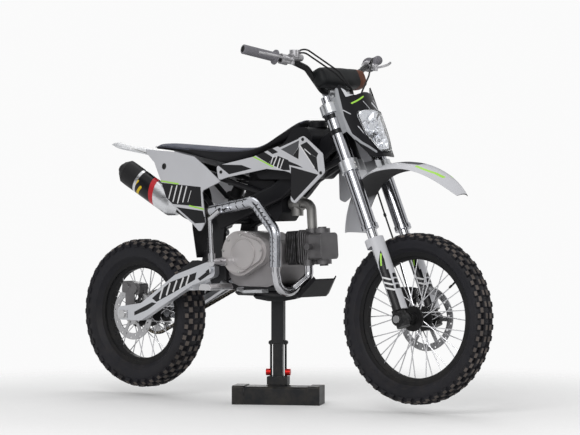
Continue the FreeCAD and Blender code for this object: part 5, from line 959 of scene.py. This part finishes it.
# %% Rubber
rubber = finish(
    "tyre_rubber", (0.015, 0.015, 0.019), 0.55, grain=700, bump=0.25, patch=0.25, dust=0.10, dust_top=0.75,
    width=0.001,
)
worn_rubber = finish(
    "worn_lug_tops", (0.115, 0.098, 0.088), 0.78, grain=500, bump=0.5, patch=0.45, width=0.001
)
lug_high, casing_wall, lug_taper = 0.0088, 0.007, 0.84
print("lugs stand", lug_high, "m proud")


# %% One tread block
def tread_block(long, wide, high):
    """A tapered block with soft top edges, its top in the second material."""
    bm = box(long, wide, high)
    bmesh.ops.translate(bm, vec=(0, 0, high / 2), verts=bm.verts[:])
    top = [v for v in bm.verts if v.co.z > high / 2]
    bmesh.ops.scale(bm, vec=(lug_taper, lug_taper, 1), verts=top)
    softened(bm, [e for e in bm.edges if all(v in top for v in e.verts)], high * 0.14, 1)
    for face in bm.faces:
        face.material_index = 1 if face.normal.z > 0.9 else 0
    return as_mesh(bm, "tread_block")


# %% A knobbly tyre
def knobbly_tyre(wheel, centre, outer, bead, width, rim_width, pitches):
    """Casing and lugs, built upright on the axle and then turned with its wheel."""
    tall, edge, tread = outer - bead, rim_width / 2, outer - lug_high
    half = [
        (bead + 0.0105, edge - 0.0035), (bead + 0.0105, edge), (bead + 0.016, edge + 0.004),
        (bead + tall * 0.30, width * 0.475), (bead + tall * 0.48, width * 0.5),
        (bead + tall * 0.64, width * 0.49), (outer - tall * 0.24, width * 0.44),
        (tread - 0.008, width * 0.33), (tread - 0.0025, width * 0.17), (tread, 0),
    ]
    inner = []
    for r, y in half[2:-1]:
        inner.append((r - (casing_wall if r > bead + tall * 0.6 else 0), y - casing_wall))
    outline = [(r, -y) for r, y in half] + half[-2::-1]
    back = inner + [(tread - casing_wall, 0)] + [(r, -y) for r, y in inner[::-1]]
    bm = spun([centre + Vector((0, y, r)) for r, y in outline + back], centre, (0, 1, 0), 96)
    step = 2 * math.pi / pitches
    # Each row: shift in pitches, place across, lean in degrees, length in pitches, width, foot radius.
    for shift, aside, lean, long_share, wide, foot in (
        (0.0, 0.155, 0.0, 0.60, 0.0175, tread - 0.003),
        (0.5, 0.34, 24.0, 0.58, 0.0165, tread - 0.0075),
        (0.0, 0.455, 47.0, 0.52, 0.015, outer - tall * 0.235),
    ):
        block = tread_block(step * outer * long_share, wide * width / 0.076, lug_high + 0.003)
        for side in (1, -1):
            tilt = math.radians(lean) * side
            for i in range(pitches):
                turn = (i + shift) * step
                out = Vector((math.sin(turn), 0, math.cos(turn)))
                away = (out * math.cos(tilt) + LEFT * math.sin(tilt)).normalized()
                spot = centre + out * (foot - 0.002) + LEFT * (side * aside * width * 0.95)
                stamp(bm, block, frame_at(spot, Vector((out.z, 0, -out.x)), away))
        bpy.data.meshes.remove(block)
    if wheel == "front":
        moved(bm, steer)
    make_piece(
        wheel + "_tyre_lugged", bm, wheel + "_wheel", [rubber, worn_rubber], wheel + "_tyre",
        sharp=32,
    )


knobbly_tyre("front", front_centre, 0.292, 0.216, 0.076, 0.046, 46)
knobbly_tyre("rear", rear_centre, 0.270, 0.178, 0.095, 0.058, 40)

# %% [markdown]
# ## The seat
# A long foam seat under a stretched cover: grippy slate vinyl on top, smooth black vinyl on the
# sides, and a sewn seam between them. Cross sections are bridged into one skin, the two vinyls are
# two materials, and the seam is a thin welt with stitches beside it.

# %% Cover materials
seat_top = finish(
    "seat_top_vinyl", (0.080, 0.086, 0.118), 0.68, grain=1500, bump=0.55, width=0.002, specular=0.1
)
seat_side = finish(
    "seat_side_vinyl", (0.012, 0.012, 0.014), 0.5, grain=1100, bump=0.30, patch=0.15, width=0.002,
    specular=0.16,
)
thread = finish("thread", (0.09, 0.095, 0.12), 0.7, grain=2500, bump=0.4)
print("covers:", seat_top.name, seat_side.name)

# %% The seat's sections
seat_rear, seat_front = -0.552, 0.146
seat_low, seat_high = 0.833, 0.998
seat_half = 0.112
seat_crown = seat_half * 0.12
# Each row: share of the length, then width, foot and top as shares of the seat's own.
seat_table = [
    (0.00, 0.40, 0.36, 0.48), (0.08, 0.57, 0.34, 0.49), (0.20, 0.72, 0.29, 0.465), (0.31, 0.83, 0.22, 0.44),
    (0.44, 0.91, 0.11, 0.41), (0.57, 0.86, 0.03, 0.395), (0.70, 0.82, 0.14, 0.415), (0.80, 0.79, 0.33, 0.52),
    (0.90, 0.70, 0.50, 0.75), (1.00, 0.48, 0.68, 1.0),
]


def smooth_row(table, share):
    """A row of the table between its rows, on a smooth curve."""
    k = max(i for i in range(len(table) - 1) if table[i][0] <= share)
    rows = [table[min(max(k + j, 0), len(table) - 1)] for j in (-1, 0, 1, 2)]
    t = (share - rows[1][0]) / (rows[2][0] - rows[1][0])
    found = []
    for a, b, c, d in list(zip(*rows))[1:]:
        found.append(b + 0.5 * t * (c - a + t * (2 * a - 5 * b + 4 * c - d + t * (3 * (b - c) + d - a))))
    return found


def seat_section(share):
    """Points of one section, from the right foot over the top to the left foot."""
    wide, low, high = smooth_row(seat_table, share)
    x = seat_rear + (seat_front - seat_rear) * share
    half = seat_half * wide
    foot = seat_low + (seat_high - seat_low) * low
    rim = seat_low + (seat_high - seat_low) * high - seat_crown
    side = [(0.86, 0.0), (0.90, 0.25), (0.955, 0.60), (0.985, 0.88), (0.965, 0.985), (0.915, 1.0)]
    right = [Vector((x, -half * y, foot + (rim - foot) * z)) for y, z in side]
    top = []
    for y in (-0.8, -0.5, -0.18, 0.18, 0.5, 0.8):
        top.append(Vector((x, half * y, rim + seat_crown * (1 - y * y) * 0.98)))
    return right + top + [Vector((p.x, -p.y, p.z)) for p in right[::-1]]


# %% The seat's skin
section_count = 45
side_slope = 0.62  # faces whose normal rises less than this are the seat's sides
sections = [seat_section(i / (section_count - 1)) for i in range(section_count)]
bm = skinned(sections, (0, -1))
for face in bm.faces:
    face.material_index = 0 if face.normal.z > side_slope else 1
crowned(make_piece("seat_cushion", bm, "chassis", [seat_top, seat_side], "seat"))


# %% Seam welt and stitches
def tube_curve(name, points, radius, body, material, sides=4, smooth=False):
    """A thin round line along points, as a mesh."""
    line = bpy.data.curves.new(name, "CURVE")
    line.dimensions = "3D"
    line.bevel_depth = radius
    line.bevel_resolution = sides // 2
    line.use_fill_caps = True
    spline = line.splines.new("NURBS" if smooth else "POLY")
    spline.points.add(len(points) - 1)
    for spot, p in zip(spline.points, points):
        spot.co = (*p, 1)
    if smooth:
        spline.order_u, spline.use_endpoint_u = 3, True
    holder = show(name, line)
    mesh = bpy.data.meshes.new_from_object(holder.evaluated_get(bpy.context.evaluated_depsgraph_get()))
    bpy.data.objects.remove(holder)
    mesh.name = name
    mesh.materials.clear()
    mesh.materials.append(material)
    mesh.shade_smooth()
    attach(show(name, mesh), body)
    print(name, len(mesh.polygons), "faces")


stitch_gap, stitch_long, stitch_thick = 0.006, 0.0038, 0.0011


def stitch_row(name, points):
    """Short stitches along a line of points."""
    bm = bmesh.new()
    bmesh.ops.create_icosphere(bm, subdivisions=1, radius=0.5)
    bmesh.ops.scale(bm, vec=(stitch_long, stitch_thick, stitch_thick), verts=bm.verts[:])
    one = as_mesh(bm, "one_stitch")
    row = bmesh.new()
    reach = 0.0
    for a, b in zip(points, points[1:]):
        run = (b - a).length
        while reach < run:
            stamp(row, one, frame_at(a.lerp(b, reach / run), b - a, Vector((0, 0.2, 1))))
            reach += stitch_gap
        reach -= run
    bpy.data.meshes.remove(one)
    make_piece(name, row, "chassis", [thread])


welt_r, welt_lift, stitch_lift, stitch_in = 0.0014, 0.0006, 0.0016, 0.45
last = len(sections[0]) - 1
for side, seam, within in (("right", 5, 6), ("left", last - 5, last - 6)):
    welt = [points[seam] + UP * welt_lift for points in sections]
    tube_curve("seat_welt_" + side, welt, welt_r, "chassis", seat_side)
    beside = [points[seam].lerp(points[within], stitch_in) + UP * stitch_lift for points in sections]
    stitch_row("seat_stitches_" + side, beside)

# %% [markdown]
# ## Bar pad and grips
# The pad is a foam block in a black vinyl sleeve, sewn shut near both ends. It starts from a
# rounded box, and loops are cut where the seams run and drawn in. The grips are one ribbed
# profile each, turned about the end of the bar.

# %% The bar pad
pad_tan = straightened(beyond(LEFT * 0.078, LEFT))
pad_vinyl = finish(
    "pad_vinyl", (0.010, 0.011, 0.012), 0.48, bump=0.35, patch=0.15, width=0.002, specular=0.16,
    layers=(film_or_shade(pad_tan, (0.13, 0.045, 0.025), 0.55),),
)
bar_mid, bar_knee = Vector((0.262, 0.072, 1.086)), Vector((0.250, 0.152, 1.164))
brace_mid = bar_mid.lerp(bar_knee, 0.62)
pad_centre = Vector((brace_mid.x + 0.022, 0, brace_mid.z))
pad_long, pad_high, pad_deep, cover_room = 0.262, 0.072, 0.064, 0.004
pad_seam, seam_reach, loop_gap = 0.108, 0.01, 0.0135
pad_corner, full, drawn_in, crease = 0.021, 0.022, 0.05, 0.010
bm = box(pad_deep - cover_room, pad_long - cover_room, pad_high - cover_room)
softened(bm, bm.edges[:], pad_corner, 4)
for i in range(-8, 9):
    everything = bm.verts[:] + bm.edges[:] + bm.faces[:]
    bmesh.ops.bisect_plane(bm, geom=everything, plane_co=(0, i * loop_gap, 0), plane_no=LEFT)
for v in bm.verts:
    swell = 1.0 + full * math.cos(v.co.y * math.pi / pad_long)
    near_seam = min(abs(abs(v.co.y) - pad_seam), seam_reach)
    pull = 1.0 - drawn_in * (1 - near_seam / seam_reach)
    wave = 1.0 + crease * math.sin(v.co.y * 95 + v.co.z * 40)
    v.co.x *= swell * pull * wave
    v.co.z *= swell * pull * wave
moved(bm, steer @ Matrix.Translation(pad_centre) @ Matrix.Rotation(-rake, 4, "Y"))
crowned(make_piece("bar_pad_cushion", bm, "steering", [pad_vinyl], "bar_pad"))

# %% The grips
grip_rubber = finish(
    "grip_rubber", (0.20, 0.195, 0.215), 0.62, grain=2600, bump=0.22, patch=0.06, width=0.001, specular=0.2
)
bar_shoulder, bar_tip = Vector((0.232, 0.205, 1.184)), Vector((0.158, 0.388, 1.219))
bore, rib_r, groove_r, flange_r = 0.0112, 0.0165, 0.0152, 0.026
rib_count, rib_gap = 24, 0.0049
grip_profile = [(bore, 0.0), (0.0150, 0.0), (rib_r, 0.0015)]
for i in range(rib_count):
    start = 0.004 + i * rib_gap
    for r, step in ((rib_r, 0), (rib_r, 0.0018), (groove_r, 0.0025), (groove_r, 0.0042)):
        grip_profile.append((r, start + step))
grip_profile += [
    (rib_r, 0.1222), (0.0175, 0.124), (0.0255, 0.1255), (flange_r, 0.1270), (flange_r, 0.1300),
    (0.0250, 0.1308), (bore, 0.131),
]
for side, name, replaced in ((-1, "grip_right", "grips"), (1, "grip_left", None)):
    mirror = Vector((1, side, 1))
    tip = bar_tip * mirror
    bm = turned(grip_profile, 28, closed=True)
    moved(bm, steer @ frame_at(tip, UP, (bar_shoulder * mirror - tip).normalized()))
    make_piece(name, bm, "steering", [grip_rubber], replaced, sharp=40)

# %% [markdown]
# ## Chain and shock
# A roller chain is pairs of plates round pins, one pitch apart. One link is made and stamped along
# the belt line round both sprockets. The shock's spring is a small circle that spins and climbs
# about the line between its eyes, and its body is a turned profile on the same line.

# %% The chain's line
chain_steel = finish(
    "chain_steel", (0.30, 0.27, 0.22), 0.36, metal=0.95, grain=700, bump=0.2, patch=0.25, dust=0.3,
    dust_top=0.6,
)
pitch = 0.0127
front_teeth, rear_teeth = 14, 37
front_sprocket_at = Vector((-0.142, 0.064, 0.478))
rear_sprocket_at = Vector((-0.646, 0.064, 0.298))
front_r = pitch / (2 * math.sin(math.pi / front_teeth))
rear_r = pitch / (2 * math.sin(math.pi / rear_teeth))
gap = front_sprocket_at - rear_sprocket_at
lean = math.acos((rear_r - front_r) / gap.length)
base = math.atan2(gap.z, gap.x)
straight = gap.length * math.sin(lean)
around_rear = 2 * (math.pi - lean) * rear_r
around_front = 2 * lean * front_r
whole = 2 * straight + around_rear + around_front


def on_belt(distance):
    """The place and direction on the chain line."""
    d = distance % whole
    rear, front = (rear_sprocket_at, rear_r), (front_sprocket_at, front_r)
    for (here, r), (there, there_r), turn, arc in (
        (rear, front, base + lean, around_front), (front, rear, base - lean, around_rear),
    ):
        a, b = here + round_way(turn) * r, there + round_way(turn) * there_r
        if d < straight:
            return a.lerp(b, d / straight), (b - a).normalized()
        d -= straight
        if d < arc:
            way = round_way(turn - d / there_r)
            return there + way * there_r, Vector((way.z, 0, -way.x))
        d -= arc
    return on_belt(0.0)


print("chain line", round(whole, 3), "m")


# %% The chain
plate_r, plate_thick, roller_r, pin_long = 0.0054, 0.0011, 0.0038, 0.0105


def crosswise(x, y):
    """A placement in a link, with Z turned to lie across it."""
    return Matrix.Translation((x, y, 0)) @ Matrix.Rotation(math.pi / 2, 4, "X")


def link_mesh(half_out):
    """Two plates and a roller, lying along X, one pitch long."""
    bm = bmesh.new()
    for side in (-1, 1):
        made = []
        for x in (-pitch / 2, pitch / 2):
            place = crosswise(x, side * half_out)
            ring = bmesh.ops.create_circle(bm, cap_ends=False, segments=8, radius=plate_r, matrix=place)
            made += ring["verts"]
        hull = bmesh.ops.convex_hull(bm, input=made)["geom"]
        bmesh.ops.dissolve_faces(bm, faces=[g for g in hull if isinstance(g, bmesh.types.BMFace)])
    grown = bmesh.ops.extrude_face_region(bm, geom=bm.faces[:])["geom"]
    points = [g for g in grown if isinstance(g, bmesh.types.BMVert)]
    bmesh.ops.translate(bm, vec=(0, plate_thick, 0), verts=points)
    rod(bm, roller_r, pin_long, 8, crosswise(-pitch / 2, 0))
    bmesh.ops.recalc_face_normals(bm, faces=bm.faces[:])
    return as_mesh(bm, "link")


bm = bmesh.new()
wide_link, slim_link = link_mesh(0.0047), link_mesh(0.0034)
link_count = round(whole / pitch)
for i in range(link_count):
    spot, direction = on_belt((i + 0.5) * whole / link_count)
    stamp(bm, wide_link if i % 2 else slim_link, frame_at(spot, direction, direction.cross(LEFT)))
make_piece("chain_links", bm, "chassis", [chain_steel], "drive_chain", smooth=False)
print("links:", link_count)

# %% The shock: a coil spring between two seats
shock_top, shock_foot = Vector((-0.176, 0, 0.772)), Vector((-0.322, 0, 0.516))
shock_long = (shock_top - shock_foot).length
upright = frame_at(shock_foot, LEFT, shock_top - shock_foot)
spring_low, spring_high = 0.036, shock_long - 0.056
wire, coil_r, turns, turn_steps = 0.0052, 0.0272, 6, 22
spring_paint = finish("spring_paint", (0.60, 0.61, 0.63), 0.34, metal=0.3, grain=800, patch=0.06, dust=0.2)
bm = bmesh.new()
ring = bmesh.ops.create_circle(bm, segments=10, radius=wire)["verts"]
bmesh.ops.rotate(bm, verts=ring, cent=ORIGIN, matrix=Matrix.Rotation(math.pi / 2, 3, "X"))
bmesh.ops.translate(bm, verts=ring, vec=(coil_r, 0, spring_low + wire))
climb = (spring_high - spring_low - 2 * wire) / (turns * turn_steps)
bmesh.ops.spin(
    bm, geom=bm.verts[:] + bm.edges[:], cent=ORIGIN, axis=UP, dvec=(0, 0, climb),
    angle=turns * 2 * math.pi, steps=turns * turn_steps,
)
bmesh.ops.holes_fill(bm, edges=[e for e in bm.edges if e.is_boundary], sides=12)
bmesh.ops.recalc_face_normals(bm, faces=bm.faces[:])
moved(bm, upright)
make_piece("shock_spring", bm, "chassis", [spring_paint])

# %% The shock's body, rod and eyes
seat_r, tube_r, rod_r, neck_r, cap_r = 0.0325, 0.0165, 0.0075, 0.0190, 0.0210
eye_r, eye_long = 0.0148, 0.0296
shock_profile = [
    (0.0, spring_low - 0.016), (0.012, spring_low - 0.016), (0.013, spring_low - 0.004),
    (seat_r, spring_low - 0.002), (0.0328, spring_low + 0.001), (tube_r, spring_low + 0.003),
    (tube_r, spring_low + 0.060), (0.0150, spring_low + 0.062), (rod_r, spring_low + 0.064),
    (rod_r, spring_high - 0.030), (neck_r, spring_high - 0.028), (neck_r, spring_high - 0.002),
    (seat_r, spring_high), (0.0328, spring_high + 0.004), (0.0300, spring_high + 0.007),
    (cap_r, spring_high + 0.008), (cap_r, shock_long - 0.020), (0.0150, shock_long - 0.012),
    (0.0, shock_long - 0.012),
]
bm = turned(shock_profile, 28)
for height in (0.0, shock_long):
    eye_at = Matrix.Translation((0, 0, height)) @ Matrix.Rotation(math.pi / 2, 4, "Y")
    rod(bm, eye_r, eye_long, 24, eye_at)
moved(bm, upright)
make_piece("shock_body", bm, "chassis", [matt_black], "rear_shock", sharp=35)

# %% [markdown]
# ## The headlight
# A clear shield with a bulge covers a bright reflector that is pressed into flat facets, with
# three round lamps in it. All of them follow one outline, which lies in front of the fork legs.

# %% The lamp's outline and its places on the fork
lamp_low, lamp_high, lamp_half = 0.574, 0.728, 0.072
face_r, face_back = 0.134, 0.028
# Each row: half width as a share, at a share of the height.
lamp_shares = [(0.30, 0.0), (0.48, 0.02), (0.90, 0.45), (1.0, 0.90), (0.94, 1.0)]


def lamp_width(share):
    """Half the lamp's width at a share of its height."""
    for (wide_a, low), (wide_b, high) in zip(lamp_shares, lamp_shares[1:]):
        if share <= high:
            return lamp_half * (wide_a + (wide_b - wide_a) * (share - low) / (high - low))
    return lamp_half * lamp_shares[-1][0]


def bulge(aside):
    """How far ahead of the legs the lamp's face stands."""
    return math.sqrt(face_r ** 2 - aside ** 2) - face_back


def lamp_skin(columns, rows, sink, dish, inset=0.0):
    """A sheet that fills the outline: sunk behind the face, and dished in its middle."""
    bm = sheet(2, 2, columns, rows)
    for v in bm.verts:
        a, b = v.co.x, (v.co.y + 1) / 2
        wide = lamp_width(b) - inset
        hollow = dish * (1 - a * a) * (1 - v.co.y ** 2)
        along = lamp_low + inset + (lamp_high - lamp_low - 2 * inset) * b
        v.co = on_fork(along, bulge(wide * a) - sink - hollow, wide * a)
    bmesh.ops.recalc_face_normals(bm, faces=bm.faces[:])
    if sum(f.normal.x for f in bm.faces) < 0:
        bmesh.ops.reverse_faces(bm, faces=bm.faces[:])
    return bm


print("lamp", round(lamp_high - lamp_low, 3), "m tall")

# %% Reflector and lamps
bright_metal = finish("reflector", (0.62, 0.63, 0.66), 0.14, metal=1.0, grain=200, bump=0.02, patch=0.04)
facet_depth, bulb_ahead = 0.0045, 0.070
bm = lamp_skin(7, 8, sink=0.010, dish=0.026, inset=0.003)
for i, v in enumerate(sorted(bm.verts, key=lambda v: (round(v.co.z, 5), round(v.co.y, 5)))):
    if not v.is_boundary:
        v.co -= lamp_way * (facet_depth * ((i * 7) % 5 - 2) / 2)
make_piece("lamp_reflector", bm, "steering", [bright_metal], smooth=False)
for name, along, aside, size in (
    ("lamp_high", 0.672, -0.027, 0.023), ("lamp_low", 0.672, 0.027, 0.023), ("lamp_park", 0.612, 0.0, 0.014),
):
    bm = turned([
        (0.0, 0.0), (size * 0.45, 0.001), (size * 0.8, 0.008), (size, 0.017), (size * 1.06, 0.018),
        (size * 1.06, 0.004),
    ], 24)
    bulb_at = Matrix.Translation((0, 0, 0.010))
    bmesh.ops.create_icosphere(bm, subdivisions=2, radius=size * 0.26, matrix=bulb_at)
    moved(bm, frame_at(on_fork(along, bulb_ahead, aside), LEFT, lamp_way))
    make_piece(name, bm, "steering", [bright_metal])

# %% Clear shield
shield, tree = new_material("clear_shield")
place = put(tree, "TexCoord").outputs["Object"]
marks = use(tree, fine_grain, {"Vector": place, "Scale": 420.0, "Patch scale": 26.0})
dusty = use(tree, road_dust, {"Vector": place, "Top": 1.2})["Dust"]
ripple = put(tree, "Bump", {"Height": marks["Height"], "Strength": 0.04, "Distance": 0.0004})
for label, value in (
    ("Base Color", mixed(tree, dusty, (0.97, 0.98, 0.99, 1), (0.80, 0.78, 0.74, 1))),
    ("Roughness", mixed(tree, marks["Patches"], 0.02, 0.07, "FLOAT")),
    ("Transmission Weight", 0.96), ("IOR", 1.25), ("Normal", ripple.outputs[0]),
):
    feed(tree, tree.nodes["Principled BSDF"].inputs[label], value)
shield_thick = 0.0022
bm = lamp_skin(16, 14, sink=0.0008, dish=0.0)
walled(make_piece("lamp_shield", bm, "steering", [shield]), shield_thick, -1.0)

# %% The lamp's housing
lamp_dark = finish("lamp_housing", (0.02, 0.02, 0.022), 0.5, bump=0.1)
edge_points = []
for share in (0.0, 0.02, 0.25, 0.45, 0.70, 0.90, 1.0):
    edge_points.append((lamp_width(share), lamp_low + (lamp_high - lamp_low) * share))
outline = edge_points + [(-a, along) for a, along in edge_points[::-1]]
back_ring = [on_fork(along, 0.0525, a) for a, along in outline]
front_ring = [on_fork(along, bulge(a) - 0.0035, a * 0.995) for a, along in outline]
bm = skinned((back_ring, front_ring), (0,))
make_piece("lamp_housing", bm, "steering", [lamp_dark], "headlight", smooth=False)

# %% [markdown]
# ## Screws, valves and a brake hose
# Covers, discs and sprockets are held by domed screws with a hexagon socket. One screw is made
# once, and a ray from outside finds the surface that each of them sits on, and which way it faces.

# %% One screw
screw_zinc = finish("screw_zinc", (0.50, 0.50, 0.49), 0.30, metal=1.0, bump=0.15, patch=0.2, dust=0.15)
screw_black = finish("screw_black", (0.02, 0.02, 0.02), 0.38, metal=0.4, bump=0.15, patch=0.2)
sunk, socket_way = 0.1, Vector((0.3, 0.1, 0.95))


def screw_mesh(radius, high):
    """A low domed head with a hexagon socket."""
    bm = bmesh.new()
    rod(bm, radius, high, 12, Matrix.Translation((0, 0, high / 2)))
    softened(bm, [e for e in bm.edges if all(v.co.z > high * 0.9 for v in e.verts)], high * 0.35, 2)
    top = max(bm.faces, key=lambda f: f.calc_center_median().z + f.calc_area())
    bmesh.ops.inset_individual(bm, faces=[top], thickness=radius * 0.36)
    bmesh.ops.translate(bm, vec=(0, 0, -high * 0.5), verts=top.verts[:])
    return as_mesh(bm, "one_screw")


def screws(name, body, node, looks, size, material=screw_zinc):
    """Screws of a radius and height on a solid: each look is a place outside it and a direction."""
    one = screw_mesh(*size)
    bm = bmesh.new()
    found = 0
    for start, look in looks:
        hit, at, normal, _ = solids[node].ray_cast(Vector(start), Vector(look))
        if hit:
            out = -normal if normal.dot(Vector(look)) > 0 else normal
            stamp(bm, one, frame_at(at - out * size[1] * sunk, socket_way, out))
            found += 1
    bpy.data.meshes.remove(one)
    make_piece(name, bm, body, [material])
    print(name, found, "of", len(looks))


def from_side(points, side=-1, far=0.4):
    """Looks along Y from one side at points (x, z)."""
    return [((x, side * far, z), (0, -side, 0)) for x, z in points]


def round_cover(x, z, wide, tall, angles):
    """Points on an oval round a cover's middle."""
    turns = [math.radians(angle) for angle in angles]
    return [(x + wide * math.cos(turn), z + tall * math.sin(turn)) for turn in turns]


# %% Screws on covers and panels
clutch_angles = (12, 52, 95, 135, 172, 215, 262, 310)
clutch_spots = round_cover(-0.068, 0.528, 0.089, 0.065, clutch_angles)
case_spots = round_cover(-0.02, 0.522, 0.066, 0.062, range(20, 380, 60))
cover_size, panel_size = (0.0048, 0.0045), (0.0058, 0.004)
screws("cover_screws", "chassis", "clutch_cover", from_side(clutch_spots), cover_size)
screws("case_screws", "chassis", "engine_case", from_side(case_spots, 1), cover_size)
for side, word in ((-1, "right"), (1, "left")):
    for name, node, spots in (
        ("shroud_screws_", "tank_shrouds", [(0.226, 0.926), (0.322, 0.812), (-0.168, 0.812)]),
        ("panel_bolt_", "side_panels", [(-0.242, 0.650)]),
    ):
        screws(name + word, "chassis", node, from_side(spots, side), panel_size, screw_black)

# %% A black plug in the bolt hole of each side panel
plug_x, plug_y, plug_z = -0.4615, 0.0885, 0.8303
plug_r, plug_high = 0.0114, 0.0045
for side, word in ((-1, "right"), (1, "left")):
    plug = screw_mesh(plug_r, plug_high)
    bm = bmesh.new()
    stamp(bm, plug, frame_at(Vector((plug_x, side * plug_y, plug_z)), AHEAD, LEFT * side))
    bpy.data.meshes.remove(plug)
    make_piece("panel_plug_" + word, bm, "chassis", [screw_black])

# %% A dark tray under the tank closes the view between the frame's tubes
tray_long, tray_tall, tray_at = 0.150, 0.060, Vector((-0.062, 0.0, 0.802))
tray_thick, rib_wide, rib_deep = 0.003, 0.003, 0.0012
bm = sheet(tray_long, tray_tall, 6, 2)
for face in bm.faces[:]:
    bmesh.ops.inset_individual(bm, faces=[face], thickness=rib_wide, depth=-rib_deep)
moved(bm, frame_at(tray_at, AHEAD, -LEFT))
tray = make_piece("tank_tray", bm, "chassis", [black_plastic], smooth=False)
walled(tray, tray_thick, 0)


# %% Screws round the wheels and the fork clamps
def round_looks(centre, axis, radius, count, shift=0.0, far=0.3):
    """Looks along an axle at points on a circle, from outside the wheel."""
    first = axis.cross(UP).normalized()
    second = axis.cross(first)
    looks = []
    for i in range(count):
        turn = 2 * math.pi * (i + shift) / count
        out = first * math.cos(turn) + second * math.sin(turn)
        looks.append((centre + axis * far + out * radius, -axis))
    return looks


front_ring_r, rear_ring_r, ring_screws = 0.033, 0.036, 6
disc_size, sprocket_size, clamp_size = (0.0050, 0.0045), (0.0055, 0.005), (0.0042, 0.004)
front_looks = round_looks(front_hub_at, front_axis, front_ring_r, ring_screws)
screws("front_disc_screws", "front_wheel", "front_disc", front_looks, disc_size)
rear_looks = round_looks(rear_centre, -LEFT, rear_ring_r, ring_screws)
screws("rear_disc_screws", "rear_wheel", "rear_disc", rear_looks, disc_size)
chain_looks = round_looks(rear_centre, LEFT, rear_ring_r, ring_screws, 0.5)
screws("sprocket_screws", "rear_wheel", "rear_sprocket", chain_looks, sprocket_size)
clamp_aside, clamp_far = 0.122 * 0.86, 0.2
clamp_looks = []
for along in (0.560, 0.545, 0.800, 0.785):
    for aside in (-clamp_aside, clamp_aside):
        clamp_looks.append((on_fork(along, clamp_far, aside), -lamp_way))
screws("clamp_screws", "steering", "triple_clamps", clamp_looks, clamp_size)

# %% Tyre valves
valve_turn = 0.87
stem = [
    (0.0, 0.0), (0.0046, 0.0), (0.0046, 0.003), (0.0032, 0.004), (0.0032, 0.020), (0.0040, 0.021),
    (0.0040, 0.031), (0.0030, 0.033), (0.0, 0.033),
]
for wheel, centre, axis, reach in (
    ("front", front_hub_at, front_axis, 0.2005), ("rear", rear_centre, LEFT, 0.1625),
):
    out = Vector((math.sin(valve_turn), 0, math.cos(valve_turn)))
    out = (out - axis * out.dot(axis)).normalized()
    bm = turned(stem, 12)
    moved(bm, frame_at(centre + out * reach, axis, -out))
    make_piece(wheel + "_valve", bm, wheel + "_wheel", [screw_black], sharp=40)

# %% The front brake hose
hose_rubber = finish("hose_rubber", (0.014, 0.014, 0.015), 0.45, grain=1600, bump=0.25, specular=0.4)
hose_r = 0.0030
upper_clip, lower_clip = (0.400, -0.041, 0.078), (0.270, -0.047, 0.088)
hose_route = [
    (0.610, 0.022, 0.040), (0.585, -0.002, 0.066), (0.520, -0.034, 0.072), upper_clip, lower_clip,
    (0.180, -0.058, 0.090), (0.122, -0.052, 0.082),
]
hose_points = [on_fork(*spot) for spot in hose_route]
tube_curve("front_brake_hose", hose_points, hose_r, "steering", hose_rubber, sides=8, smooth=True)
clip_r, clip_long = 0.0050, 0.010
clips = bmesh.new()
for spot in (upper_clip, lower_clip):
    ring = rod(clips, clip_r, clip_long, 14)
    moved(clips, frame_at(on_fork(*spot), ahead_leg, up_leg), ring)
make_piece("hose_clips", clips, "steering", [matt_black], sharp=40)
